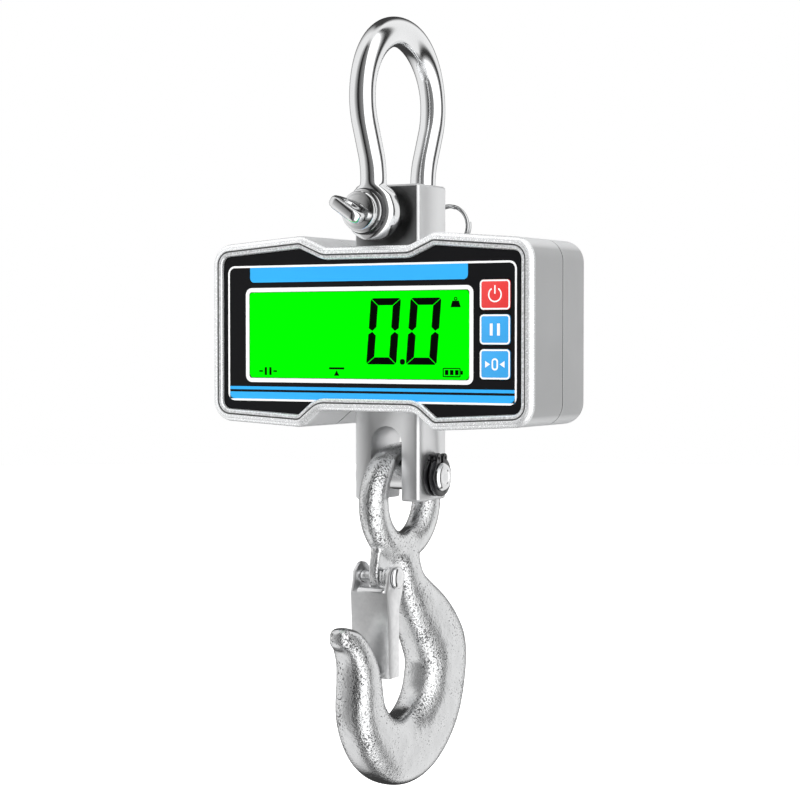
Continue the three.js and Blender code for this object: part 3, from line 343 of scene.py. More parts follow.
@dataclass(frozen=True)
class Galvanised(Finish):
    """A hot-dip zinc skin with a coarse dark speckle, crowded on the rounded shoulders as a painted dark
    reflection.
    """

    speckle: Colour = (0.06, 0.06, 0.063)
    speckle_size: float = 1.0 * MM
    band_size: float = 14 * MM  # size of the areas with more and with less speckle

    @staticmethod
    def shaded_shoulders(build: Tree) -> Any:
        """Finds the rounded shoulders between the faces and the flanks, where the speckle paints a dark
        reflection.

        Args:
            build: The material's tree.

        Returns:
            A mask that is 1 on the shoulders.
        """
        facing = build.add("ShaderNodeTexCoord").outputs["Normal"]
        parts = build.add("ShaderNodeSeparateXYZ", {0: facing}).outputs
        product = build.math("ABSOLUTE", build.math("MULTIPLY", parts[0], parts[1]))
        return build.span(product, 0.06, 0.26)

    def fill(self, build: Tree, surface: bpy.types.Node) -> None:
        """Feeds the shader with the zinc's speckle and grain, the speckle crowded on the shoulders as a
        painted dark reflection.

        Args:
            build: The material's tree.
            surface: Its Principled shader.
        """
        place, grains, waves = self.pattern(build)
        shaded_shoulder = self.shaded_shoulders(build)
        coarse = build.noise(place, 1 / self.speckle_size, 2.0, 0.6)
        band = build.noise(place, 1 / self.band_size, 2.0, 0.5)
        level = build.span(band, 0.36, 0.66, 0.7, 0.58)
        # Painted dark reflection: the speckle grows denser on the shoulders.
        level = build.math("SUBTRACT", level, build.math("MULTIPLY", shaded_shoulder, 0.09))
        spots = build.span(build.math("SUBTRACT", coarse, level), 0.0, 0.05)
        tone = build.mix(waves, shade(self.colour, 0.94), shade(self.colour, 1.05))
        # Dark speckle spots: the zinc's own spangle, and painted dark reflection where they crowd on the
        # shoulders.
        tone = build.mix(build.math("MULTIPLY", spots, 0.85), tone, shade(self.speckle))
        rubbed = self.worn(build, place)
        tone = build.mix(rubbed, tone, shade(self.colour, 1.2))
        rough = build.math("ADD", self.rough(build, grains), build.math("MULTIPLY", spots, 0.1))
        height = build.math("ADD", grains, build.math("MULTIPLY", coarse, 2.0))
        height = build.math("MULTIPLY", height, build.span(shaded_shoulder, 0.0, 1.0, 0.45, 2.2))
        height = build.math("ADD", height, build.math("MULTIPLY", waves, 2.0))
        self.relief(build, surface, height)
        build.tree.links.new(tone, surface.inputs["Base Color"])
        build.tree.links.new(rough, surface.inputs["Roughness"])


@dataclass(frozen=True)
class PinShaded(Finish):
    """Ground steel with a painted shade that spreads from the shackle pin over its two faces."""

    inner: float = 15 * MM  # reach of the full painted shade
    outer: float = 34 * MM  # reach at which it has gone
    cover: float = 0.94  # how far the full painted shade darkens the steel

    def film(self, build: Tree, place: Any) -> Any:
        """Spreads the painted shade round the shackle pin.

        Args:
            build: The material's tree.
            place: The place on the piece.

        Returns:
            The painted shade's mask.
        """
        parts = build.add("ShaderNodeSeparateXYZ", {0: place}).outputs
        up = build.math("SUBTRACT", parts[2], SHACKLE_PIN.z)
        square = build.math("ADD", build.math("MULTIPLY", parts[0], parts[0]), build.math("MULTIPLY", up, up))
        reach = build.math("SQRT", square)
        facing = build.add("ShaderNodeTexCoord").outputs["Normal"]
        face = build.math("ABSOLUTE", build.add("ShaderNodeSeparateXYZ", {0: facing}).outputs[1])
        spread = build.span(reach, self.inner, self.outer, self.cover, 0.0)
        return build.math("MULTIPLY", build.span(face, 0.6, 0.95), spread)

    def fill(self, build: Tree, surface: bpy.types.Node) -> None:
        """Feeds the shader with the ground steel and the painted shade round the shackle pin.

        Args:
            build: The material's tree.
            surface: Its Principled shader.
        """
        place, grains, waves = self.pattern(build)
        colour, rough = self.base(build, grains, waves)
        # Painted shade: the two faces darken towards the shackle pin, as if shaded by the shackle's ear.
        colour = build.mix(self.film(build, place), colour, shade(self.colour, 0.03))
        self.relief(build, surface, grains)
        build.tree.links.new(colour, surface.inputs["Base Color"])
        build.tree.links.new(rough, surface.inputs["Roughness"])


@dataclass(frozen=True)
class CastSkin(Finish):
    """A cast and blasted light alloy: sandy on the front band and satin on the walls, with painted light
    making the front lip and the top and bottom walls paler.
    """

    band_y: float = -33.7 * MM  # depth of the sandy band's face
    painted_lip_y: float = -31.0 * MM  # depth at which the painted highlight on the front lip ends
    sand: float = 1.0 * MM  # size of the sand's grains

    def fill(self, build: Tree, surface: bpy.types.Node) -> None:
        """Feeds the shader with the satin walls and the sandy band, and paints light on the front lip and on
        the walls that face up or down.

        Args:
            build: The material's tree.
            surface: Its Principled shader.
        """
        place, grains, waves = self.pattern(build)
        depth = build.add("ShaderNodeSeparateXYZ", {0: place}).outputs[1]
        off = build.math("ABSOLUTE", build.math("SUBTRACT", depth, self.band_y))
        band = build.span(off, 0.04 * MM, 0.09 * MM, 1.0, 0.0)
        lip = build.span(depth, self.painted_lip_y, self.painted_lip_y + 0.5 * MM, 1.0, 0.0)
        sand = build.noise(place, 1 / self.sand, 2.0, 0.6)
        # Painted light: walls that face up or down are made paler, as if lit from above and below.
        facing = build.add("ShaderNodeTexCoord").outputs["Normal"]
        upright = build.add("ShaderNodeSeparateXYZ", {0: facing}).outputs[2]
        level = build.span(build.math("ABSOLUTE", upright), 0.5, 0.9)
        colour = build.mix(waves, shade(self.colour, 0.78), shade(self.colour, 0.84))
        colour = build.mix(level, colour, shade(self.colour, 1.9))
        # Painted highlight: everything in front of the lip's depth is made paler.
        colour = build.mix(lip, colour, shade(self.colour, 1.9))
        dark = build.math("MULTIPLY", band, build.span(sand, 0.34, 0.64))
        colour = build.mix(dark, colour, shade(self.colour, 1.15))
        smooth = build.math("MULTIPLY", build.math("SUBTRACT", lip, band), 0.12)
        height = build.math("MULTIPLY", band, build.math("ADD", grains, build.math("MULTIPLY", sand, 1.5)))
        height = build.math("ADD", height, build.math("MULTIPLY", grains, 0.06))
        self.relief(build, surface, height)
        build.tree.links.new(colour, surface.inputs["Base Color"])
        rough = build.math("SUBTRACT", self.rough(build, grains), smooth)
        build.tree.links.new(rough, surface.inputs["Roughness"])


@dataclass(frozen=True)
class Lit(Finish):
    """A lit display: even light with a faint cell pattern and slightly darker borders."""

    light: float = 1.0
    glow: Colour = (0.0, 0.98, 0.0)
    half: Flat = (64 * MM, 22 * MM)  # half the display's width and height
    centre: Place = (0.0, 0.0, 0.0)
    cell: float = 0.4 * MM  # size of the cell pattern

    def fill(self, build: Tree, surface: bpy.types.Node) -> None:
        """Feeds the shader's glow, darker towards the display's borders.

        Args:
            build: The material's tree.
            surface: Its Principled shader.
        """
        super().fill(build, surface)
        place = build.add("ShaderNodeTexCoord").outputs["Object"]
        local = build.add("ShaderNodeVectorMath", {0: place, 1: self.centre}, operation="SUBTRACT").outputs[0]
        parts = build.add("ShaderNodeSeparateXYZ", {0: local}).outputs
        across = build.math("DIVIDE", build.math("ABSOLUTE", parts[0]), self.half[0])
        up = build.math("DIVIDE", build.math("ABSOLUTE", parts[2]), self.half[1])
        edge = build.span(build.math("MAXIMUM", across, up), 0.86, 1.0, 0.0, 0.1)
        cells = build.math("MULTIPLY", build.noise(place, 1 / self.cell, 1.0), 0.03)
        dim = build.math("ADD", edge, cells)
        glow = build.mix(dim, shade(self.glow), shade(self.glow, 0.55))
        build.tree.links.new(glow, surface.inputs["Emission Color"])
        surface.inputs["Emission Strength"].default_value = self.light


@dataclass(frozen=True)
class Floor(Finish):
    """A pale floor that runs into the white behind it."""

    lift: float = 0.85  # light that takes the floor up to white

    def fill(self, build: Tree, surface: bpy.types.Node) -> None:
        """Feeds the shader as usual, and lights what the eye sees of the floor up to white.

        Args:
            build: The material's tree.
            surface: Its Principled shader.
        """
        super().fill(build, surface)
        seen = build.add("ShaderNodeLightPath").outputs["Is Camera Ray"]
        glow = build.mix(seen, (0.0, 0.0, 0.0, 1.0), (1.0, 1.0, 1.0, 1.0))
        build.tree.links.new(glow, surface.inputs["Emission Color"])
        surface.inputs["Emission Strength"].default_value = self.lift


@dataclass(frozen=True)
class Board(Finish):
    """A circuit board: solder mask with copper runs showing through."""

    pitch: float = 2.4 * MM  # distance between runs
    pad: float = 4.2 * MM  # distance between pads
    bend: float = 9 * MM  # length over which the runs bend

    def fill(self, build: Tree, surface: bpy.types.Node) -> None:
        """Feeds the shader with lighter runs and tinned pads.

        Args:
            build: The material's tree.
            surface: Its Principled shader.
        """
        place, grains, _ = self.pattern(build)
        bent = build.noise(place, 1 / self.bend, 0.0)
        parts = build.add("ShaderNodeSeparateXYZ", {0: place}).outputs
        run = build.math("ADD", build.math("DIVIDE", parts[2], self.pitch), build.math("MULTIPLY", bent, 6.0))
        off = build.math("ABSOLUTE", build.math("SUBTRACT", build.math("FRACT", run), 0.5))
        line = build.span(off, 0.3, 0.36)
        colour = build.mix(line, shade(self.colour), shade(self.colour, 1.9))
        cell = build.add("ShaderNodeTexVoronoi", {"Vector": place, "Scale": 1 / self.pad})
        pads = build.span(cell.outputs["Distance"], 0.13, 0.16, 1.0, 0.0)
        colour = build.mix(pads, colour, (0.55, 0.55, 0.52, 1.0))
        self.relief(build, surface, build.math("ADD", line, build.math("MULTIPLY", grains, 0.2)))
        build.tree.links.new(colour, surface.inputs["Base Color"])
        build.tree.links.new(self.rough(build, grains), surface.inputs["Roughness"])


STAINLESS = Finish(
    "polished_stainless", (0.84, 0.845, 0.85), 0.12, 1.0, 0.6 * MM, 0.0004 * MM, 16 * MM, 0.03, 0.02
)
TURNED = Finish(
    "turned_steel", (0.76, 0.765, 0.77), 0.15, 1.0, 0.5 * MM, 0.0015 * MM, tint=0.06, edge=0.6, turn=0.3
)
BLACK_STEEL = Finish(
    "black_oxide", (0.012, 0.012, 0.014), 0.16, 0.3, 0.6 * MM, 0.002 * MM, edge=0.2, gloss=0.8
)
# Ground steel, with painted shade round the shackle pin on its front and back faces.
GROUND = PinShaded(
    "ground_steel", (0.85, 0.855, 0.86), 0.42, 1.0, 1.2 * MM, 0.0008 * MM, 25 * MM, 0.02, 0.01,
    stretch=(5.0, 5.0, 0.3), edge=0.8,
)
ZINC = Galvanised("galvanised", (0.72, 0.725, 0.73), 0.12, 1.0, 1.0 * MM, 0.045 * MM, 7 * MM, spread=0.04)
ZINC_SHEET = Finish(
    "plated_sheet", (0.78, 0.785, 0.79), 0.36, 1.0, 0.9 * MM, 0.001 * MM, 14 * MM, 0.03, 0.02,
    stretch=(4.0, 4.0, 0.5), edge=0.6,
)
SPRING_STEEL = Finish(
    "spring_steel", (0.52, 0.525, 0.53), 0.1, 1.0, 0.5 * MM, 0.0005 * MM, tint=0.05, spread=0.02
)
BRASS = Finish("brass", (0.62, 0.47, 0.2), 0.32, 1.0, 0.3 * MM, 0.004 * MM)
CAST = CastSkin("cast_alloy", (0.5, 0.505, 0.51), 0.38, 0.5, 0.6 * MM, 0.07 * MM, 40 * MM, spread=0.04)
MILLED = Finish("milled_alloy", (0.68, 0.69, 0.7), 0.34, 1.0, 0.4 * MM, 0.004 * MM, stretch=(1, 1, 6))
RUBBER = Finish("rubber", (0.016, 0.016, 0.017), 0.72, 0.0, 0.35 * MM, 0.02 * MM, tint=0.2)
FILM = Finish(
    "panel_film", (0.0065, 0.0065, 0.0075), 0.4, 0.0, 0.3 * MM, 0.003 * MM, tint=0.15, spread=0.04, gloss=0.12
)
WHITE_INK = Finish("white_ink", (1.0, 1.0, 1.0), 0.4, 0.0, 0.25 * MM, 0.002 * MM, tint=0.015, gloss=0.3)
BLUE_INK = Finish("blue_ink", (0.036, 0.44, 0.95), 0.4, 0.0, 0.25 * MM, 0.002 * MM, tint=0.03, gloss=0.2)
SEGMENT_INK = Finish(
    "display_segment", (0.002, 0.003, 0.002), 0.45, 0.0, 0.2 * MM, 0.002 * MM, tint=0.3, gloss=0.0
)
RED_KEY = Finish("red_key", (1.0, 0.022, 0.022), 0.34, 0.0, 0.3 * MM, 0.004 * MM, tint=0.04, gloss=0.08)
BLUE_KEY = Finish("blue_key", (0.032, 0.52, 1.0), 0.34, 0.0, 0.3 * MM, 0.004 * MM, tint=0.04, gloss=0.08)
BLACK_PLASTIC = Finish("black_plastic", (0.02, 0.02, 0.021), 0.5, 0.0, 0.5 * MM, 0.012 * MM, tint=0.15)
WHITE_PLASTIC = Finish("white_plastic", (0.8, 0.8, 0.78), 0.45, 0.0, 0.5 * MM, 0.006 * MM, tint=0.03)
WRAP = Finish("cell_wrap", (0.03, 0.12, 0.38), 0.3, 0.0, 0.8 * MM, 0.01 * MM, tint=0.1, coat=0.4)
MASK = Board("solder_mask", (0.01, 0.09, 0.035), 0.4, 0.0, 0.4 * MM, 0.02 * MM)
# Dark grey for the strip laid in the rim's groove: a painted shadow.
GROOVE_SHADOW = Finish("rim_groove_shadow", (0.08, 0.08, 0.08), 0.55, 0.0, 0.4 * MM, 0.01 * MM, tint=0.2, gloss=0.2)
GLASS = Finish("display_glass", (0.02, 0.5, 0.02), 0.15, 0.0, 0.5 * MM, 0.001 * MM)


# ---- Meshes -------------------------------------------------------------------------------------


class Axis(Enum):
    """Axis that a turned piece lies along."""

    X = "X"
    Y = "Y"
    Z = "Z"

    def place(self, along: float, u: float, v: float) -> Vector:
        """Finds a point by its distances from the axis and along it.

        Args:
            along: Distance along the axis.
            u: First distance across it.
            v: Second distance across it.

        Returns:
            The point.
        """
        if self is Axis.X:
            return Vector((along, u, v))
        if self is Axis.Y:
            return Vector((v, along, u))
        return Vector((u, v, along))


def solid(name: str, points: Iterable[Sequence[float]], faces: Iterable[Sequence[int]]) -> Object:
    """Makes an object with outward faces.

    Args:
        name: The object's name.
        points: Its points.
        faces: Its faces, as point numbers.

    Returns:
        The new object, linked to the scene.
    """
    mesh = bpy.data.meshes.new(name)
    mesh.from_pydata([tuple(p) for p in points], [], [tuple(f) for f in faces])
    work = bmesh.new()
    work.from_mesh(mesh)
    bmesh.ops.remove_doubles(work, verts=work.verts, dist=1e-7)
    bmesh.ops.recalc_face_normals(work, faces=work.faces)
    work.to_mesh(mesh)
    work.free()
    thing = bpy.data.objects.new(name, mesh)
    bpy.context.collection.objects.link(thing)
    return thing


def through_loops(name: str, loops: Sequence[Sequence[Vector]], ring: bool = False) -> Object:
    """Skins a row of loops that have the same number of points.

    Args:
        name: The object's name.
        loops: The loops in order.
        ring: Joins the last loop to the first; otherwise both ends get a cap.

    Returns:
        The new object.
    """
    count = len(loops[0])
    points = [p for loop in loops for p in loop]
    faces = []
    for k in range(len(loops) if ring else len(loops) - 1):
        low, high = k * count, ((k + 1) % len(loops)) * count
        for i in range(count):
            j = (i + 1) % count
            faces.append((low + i, low + j, high + j, high + i))
    if not ring:
        faces.append(tuple(range(count)))
        faces.append(tuple(range(len(points) - count, len(points))))
    return solid(name, points, faces)


def turned(name: str, profile: Sequence[Flat], axis: Axis, centre: Vector, sides: int = 72) -> Object:
    """Turns a profile about an axis.

    Args:
        name: The object's name.
        profile: Pairs of a distance along the axis and a radius.
        axis: The axis.
        centre: The point that the axis passes and distances are measured from.
        sides: Number of sides.

    Returns:
        The new object; a radius of 0 closes an end.
    """
    loops = []
    for along, radius in profile:
        turn = [2 * math.pi * k / sides for k in range(sides)]
        r = max(radius, 1e-6)
        loops.append([axis.place(along, r * math.cos(a), r * math.sin(a)) + centre for a in turn])
    ring = profile[0][1] > 0
    return through_loops(name, loops, ring)


@dataclass
class Station:
    """One section of a forged bar that is bent in the plane of Y and Z."""

    y: float
    z: float
    deep: float  # half size in the plane
    wide: float  # half size along X
    square: float = 2.0  # 2 is an ellipse, more is boxier


def forged(name: str, stations: Sequence[Station], sides: int = 40) -> Object:
    """Skins a bar through its stations.

    Args:
        name: The object's name.
        stations: The bar's sections in order.
        sides: Number of sides.

    Returns:
        The new object with capped ends.
    """
    loops = []
    last = len(stations) - 1
    for k, here in enumerate(stations):
        before, after = stations[max(k - 1, 0)], stations[min(k + 1, last)]
        along = Vector((after.y - before.y, after.z - before.z)).normalized()
        loop = []
        for i in range(sides):
            angle = 2 * math.pi * i / sides
            c, s = math.cos(angle), math.sin(angle)
            u = math.copysign(abs(c) ** (2 / here.square), c) * here.deep
            v = math.copysign(abs(s) ** (2 / here.square), s) * here.wide
            loop.append(Vector((v, here.y - along.y * u, here.z + along.x * u)))
        loops.append(loop)
    return through_loops(name, loops)


def smooth_row(rows: Sequence[Sequence[float]], count: int) -> list[list[float]]:
    """Fills in rows of numbers along a smooth curve through the given ones.

    Args:
        rows: The rows that the curve passes.
        count: Number of steps.

    Returns:
        The evenly stepped rows.
    """
    out = []
    last = len(rows) - 1
    for k in range(count + 1):
        t = k / count * last
        i = min(int(t), last - 1)
        f = t - i
        p0, p1, p2, p3 = rows[max(i - 1, 0)], rows[i], rows[i + 1], rows[min(i + 2, last)]
        row = []
        for a, b, c, d in zip(p0, p1, p2, p3):
            bend = (2 * a - 5 * b + 4 * c - d) * f * f + (3 * b - a - 3 * c + d) * f**3
            row.append(0.5 * (2 * b + (c - a) * f + bend))
        out.append(row)
    return out


def rounded(corners: Sequence[Place], steps: int = 8) -> list[Vector]:
    """Rounds an outline's corners.

    Args:
        corners: The corners' x and z and the radius at each.
        steps: Number of steps in each arc.

    Returns:
        The outline's points.
    """
    points = []
    for i, (x, z, radius) in enumerate(corners):
        here = Vector((x, z))
        back = (Vector(corners[i - 1][:2]) - here).normalized()
        on = (Vector(corners[(i + 1) % len(corners)][:2]) - here).normalized()
        half = math.acos(max(-1.0, min(1.0, back.dot(on)))) / 2
        centre = here + (back + on).normalized() * (radius / math.sin(half))
        start = here + back * (radius / math.tan(half)) - centre
        end = here + on * (radius / math.tan(half)) - centre
        turn = math.atan2(start.x * end.y - start.y * end.x, start.dot(end))
        for k in range(steps + 1):
            a = turn * k / steps
            c, s = math.cos(a), math.sin(a)
            points.append(centre + Vector((start.x * c - start.y * s, start.x * s + start.y * c)))
    return points


def box_outline(x0: float, x1: float, z0: float, z1: float, radius: float, inset: float = 0.0) -> Outline:
    """Makes the outline of a rounded rectangle.

    Args:
        x0: Left side.
        x1: Right side.
        z0: Lower side.
        z1: Upper side.
        radius: Radius of its corners.
        inset: How far the outline is moved inwards.

    Returns:
        The outline's points.
    """
    r = max(radius - inset, 0.05 * MM)
    x0, x1, z0, z1 = x0 + inset, x1 - inset, z0 + inset, z1 - inset
    return rounded([(x0, z0, r), (x1, z0, r), (x1, z1, r), (x0, z1, r)])


def plate(name: str, outline: Outline, front: float, back: float, hole: Outline = ()) -> Object:
    """Makes a flat plate.

    Args:
        name: The object's name.
        outline: Its outline.
        front: Depth of its front face.
        back: Depth of its back face.
        hole: The outline of a hole, with as many points, or none.

    Returns:
        The plate.
    """
    levels = [(outline, front), (outline, back)]
    if hole:
        levels += [(hole, back), (hole, front)]
    loops = [[Vector((p.x, y, p.y)) for p in loop] for loop, y in levels]
    return through_loops(name, loops, ring=bool(hole))


def copied(node: str, name: str) -> Object:
    """Copies a CAD node, merged and with its flat faces whole again.

    Args:
        node: The CAD node.
        name: The copy's name.

    Returns:
        The copy.
    """
    source = frame["nodes"][node]
    mesh = source.data.copy()
    mesh.materials.clear()
    work = bmesh.new()
    work.from_mesh(mesh)
    bmesh.ops.remove_doubles(work, verts=work.verts, dist=2e-6)
    bmesh.ops.dissolve_limit(work, angle_limit=math.radians(1.0), verts=work.verts, edges=work.edges)
    bmesh.ops.recalc_face_normals(work, faces=work.faces)
    work.to_mesh(mesh)
    work.free()
    for extra in ("sharp_edge", "custom_normal"):
        if extra in mesh.attributes:
            mesh.attributes.remove(mesh.attributes[extra])
    thing = bpy.data.objects.new(name, mesh)
    bpy.context.collection.objects.link(thing)
    return thing


def settle(thing: Object) -> Object:
    """Turns an object's modifiers into plain mesh.

    Args:
        thing: The object.

    Returns:
        The same object without modifiers.
    """
    graph = bpy.context.evaluated_depsgraph_get()
    graph.update()
    mesh = bpy.data.meshes.new_from_object(thing.evaluated_get(graph))
    old = thing.data
    thing.modifiers.clear()
    thing.data = mesh
    bpy.data.meshes.remove(old)
    return thing


def cut(thing: Object, *cutters: Object) -> Object:
    """Takes the cutters away from a piece and removes them.

    Args:
        thing: The piece.
        cutters: The objects whose room is cut out of it.

    Returns:
        The same piece.
    """
    for cutter in cutters:
        step = thing.modifiers.new("cut", "BOOLEAN")
        step.object = cutter
        step.operation = "DIFFERENCE"
        step.solver = "EXACT"
    settle(thing)
    for cutter in cutters:
        bpy.data.objects.remove(cutter)
    return thing


def soften(thing: Object, width: float, steps: int = 2, over: float = 28.0) -> Object:
    """Rounds a piece's sharp edges.

    Args:
        thing: The piece.
        width: Width of the rounding.
        steps: Number of its steps.
        over: Angle in degrees over which an edge is rounded.

    Returns:
        The same piece.
    """
    bevel = thing.modifiers.new("edges", "BEVEL")
    bevel.width = width
    bevel.segments = steps
    bevel.limit_method = "ANGLE"
    bevel.angle_limit = math.radians(over)
    bevel.harden_normals = False
    settle(thing)
    return thing


def joined(name: str, things: Sequence[Object]) -> Object:
    """Joins pieces into one object.

    Args:
        name: The new object's name.
        things: The pieces, which are removed.

    Returns:
        The new object.
    """
    work = bmesh.new()
    for thing in things:
        work.from_mesh(thing.data)
    mesh = bpy.data.meshes.new(name)
    work.to_mesh(mesh)
    work.free()
    for thing in things:
        bpy.data.objects.remove(thing)
    whole = bpy.data.objects.new(name, mesh)
    bpy.context.collection.objects.link(whole)
    return whole


def block(name: str, low: Vector, high: Vector) -> Object:
    """Makes a plain box, used to cut other pieces.

    Args:
        name: The box's name.
        low: Its lowest corner.
        high: Its highest corner.

    Returns:
        The box.
    """
    corners = [(x, y, z) for x in (low.x, high.x) for y in (low.y, high.y) for z in (low.z, high.z)]
    faces = [(0, 1, 3, 2), (4, 6, 7, 5), (0, 4, 5, 1), (2, 3, 7, 6), (0, 2, 6, 4), (1, 5, 7, 3)]
    return solid(name, corners, faces)


def dress(thing: Object, body: str, slot: str, finish: Finish, *nodes: str, sharp: float = 30.0) -> Object:
    """Gives a piece its finish, smooth shading and body.

    Args:
        thing: The piece, in place.
        body: The CAD body it moves with.
        slot: The record's material slot; not used.
        finish: Its finish.
        nodes: The CAD nodes it stands for.
        sharp: Angle in degrees over which an edge stays sharp.

    Returns:
        The same piece.
    """
    mesh = thing.data
    mesh.materials.clear()
    mesh.materials.append(finish.make())
    mesh.shade_smooth()
    mesh.set_sharp_from_angle(angle=math.radians(sharp))
    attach(thing, body)
    if nodes:
        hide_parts(*nodes)
    LOG.info("%s: %d faces", thing.name, len(mesh.polygons))
    return thing


# ---- Geometry Nodes -----------------------------------------------------------------------------


def node_tree(name: str, sizes: dict[str, str]) -> tuple[Tree, Any, Any]:
    """Starts a Geometry Nodes tree with a geometry, the named sizes and a material as inputs.

    Args:
        name: The tree's name.
        sizes: Its sizes and their socket types.

    Returns:
        The tree, the node with its inputs, and the node with its output.
    """
    tree = bpy.data.node_groups.new(name, "GeometryNodeTree")
    tree.interface.new_socket("Geometry", in_out="INPUT", socket_type="NodeSocketGeometry")
    for label, kind in sizes.items():
        tree.interface.new_socket(label, in_out="INPUT", socket_type=kind)
    tree.interface.new_socket("Material", in_out="INPUT", socket_type="NodeSocketMaterial")
    tree.interface.new_socket("Geometry", in_out="OUTPUT", socket_type="NodeSocketGeometry")
    build = Tree(tree)
    return build, build.add("NodeGroupInput"), build.add("NodeGroupOutput")


def end_tree(build: Tree, come: Any, go: Any, shape: Any) -> Nodes:
    """Ends a tree with real geometry and its material.

    Args:
        build: The tree.
        come: The node with its inputs.
        go: The node with its output.
        shape: The geometry made so far.

    Returns:
        The finished tree.
    """
    real = build.add("GeometryNodeRealizeInstances", {0: shape}).outputs[0]
    named = build.add("GeometryNodeSetMaterial", {"Geometry": real, "Material": come.outputs["Material"]})
    build.tree.links.new(named.outputs[0], go.inputs[0])
    return build.tree


def wire_tree() -> Nodes:
    """Makes a round wire along the edges of a path, with Radius and Sides as its sizes.

    Returns:
        The tree.
    """
    build, come, go = node_tree("wire_on_path", {"Radius": "NodeSocketFloat", "Sides": "NodeSocketInt"})
    path = build.add("GeometryNodeMeshToCurve", {0: come.outputs["Geometry"]}).outputs[0]
    feeds = {"Radius": come.outputs["Radius"], "Resolution": come.outputs["Sides"]}
    ring = build.add("GeometryNodeCurvePrimitiveCircle", feeds).outputs[0]
    feeds = {"Curve": path, "Profile Curve": ring, "Fill Caps": True}
    wire = build.add("GeometryNodeCurveToMesh", feeds).outputs[0]
    return end_tree(build, come, go, wire)


def shell_tree() -> Nodes:
    """Makes a shell wall: a section carried round an outline whose corners are rounded.

    The input mesh holds two rows of edges: the outline's corners, with each corner's radius in the
    attribute fillet, and the section, whose points have a fillet of -1.

    Returns:
        The tree.
    """
    build, come, go = node_tree("wall_round_outline", {"Corner steps": "NodeSocketInt"})
    radius = build.add("GeometryNodeInputNamedAttribute", {"Name": "fillet"}, data_type="FLOAT").outputs[0]
    is_section = build.math("LESS_THAN", radius, 0.0)
    feeds = {"Geometry": come.outputs["Geometry"], "Selection": is_section}
    parts = build.add("GeometryNodeSeparateGeometry", feeds, domain="POINT").outputs
    outline = build.add("GeometryNodeMeshToCurve", {0: parts[1]}).outputs[0]
    steps = come.outputs["Corner steps"]
    feeds = {"Curve": outline, "Radius": radius, "Count": steps}
    fillet = build.add("GeometryNodeFilletCurve", feeds, mode="POLY").outputs[0]
    upright = build.add("GeometryNodeSetCurveNormal", {"Curve": fillet}, mode="Z_UP")
    section = build.add("GeometryNodeMeshToCurve", {0: parts[0]}).outputs[0]
    feeds = {"Curve": upright.outputs[0], "Profile Curve": section}
    wall = build.add("GeometryNodeCurveToMesh", feeds).outputs[0]
    return end_tree(build, come, go, wall)


def repeat_tree() -> Nodes:
    """Makes a turned head with a hex socket at every point of a mesh.

    Its sizes are Radius, Height and Socket. The heads face the back, along +Y.

    Returns:
        The tree.
    """
    sizes = {"Radius": "NodeSocketFloat", "Height": "NodeSocketFloat", "Socket": "NodeSocketFloat"}
    build, come, go = node_tree("heads_on_points", sizes)
    radius, height, socket = (come.outputs[n] for n in sizes)
    feeds = {"Vertices": 40, "Side Segments": 3, "Radius Top": build.math("MULTIPLY", radius, 0.86)}
    feeds.update({"Radius Bottom": radius, "Depth": height})
    head = build.add("GeometryNodeMeshCone", feeds).outputs[0]
    deep = build.math("MULTIPLY", height, 1.1)
    feeds = {"Vertices": 6, "Radius": socket, "Depth": deep}
    key = build.add("GeometryNodeMeshCylinder", feeds).outputs[0]
    lift = build.add("ShaderNodeCombineXYZ", {2: height}).outputs[0]
    key = build.add("GeometryNodeTransform", {"Geometry": key, "Translation": lift}).outputs[0]
    bored = build.add("GeometryNodeMeshBoolean", {0: head, 1: key}, operation="DIFFERENCE").outputs[0]
    feeds = {"Points": come.outputs["Geometry"], "Instance": bored, "Rotation": (-math.pi / 2, 0.0, 0.0)}
    heads = build.add("GeometryNodeInstanceOnPoints", feeds).outputs[0]
    return end_tree(build, come, go, heads)


def grown(thing: Object, tree: Nodes, finish: Finish, sizes: dict[str, Any]) -> Object:
    """Runs a Geometry Nodes tree on an object and keeps the result as plain mesh.

    Args:
        thing: The object that holds the path, section or points.
        tree: The tree to run.
        finish: The finish that the tree sets.
        sizes: The tree's inputs by name.

    Returns:
        The same object with the new mesh.
    """
    step = thing.modifiers.new("grow", "NODES")
    step.node_group = tree
    values = {**sizes, "Material": finish.make()}
    for item in tree.interface.items_tree:
        if item.in_out == "INPUT" and item.name in values:
            step[item.identifier] = values[item.name]
    return settle(thing)


def path_object(name: str, points: Sequence[Sequence[float]]) -> Object:
    """Makes an object that holds a row of edges.

    Args:
        name: The object's name.
        points: The row's points.

    Returns:
        The object.
    """
    mesh = bpy.data.meshes.new(name)
    edges = [(i, i + 1) for i in range(len(points) - 1)]
    mesh.from_pydata([tuple(p) for p in points], edges, [])
    thing = bpy.data.objects.new(name, mesh)
    bpy.context.collection.objects.link(thing)
    return thing


WIRE = wire_tree()
WALL = shell_tree()
HEADS = repeat_tree()


# ---- Shackle ------------------------------------------------------------------------------------


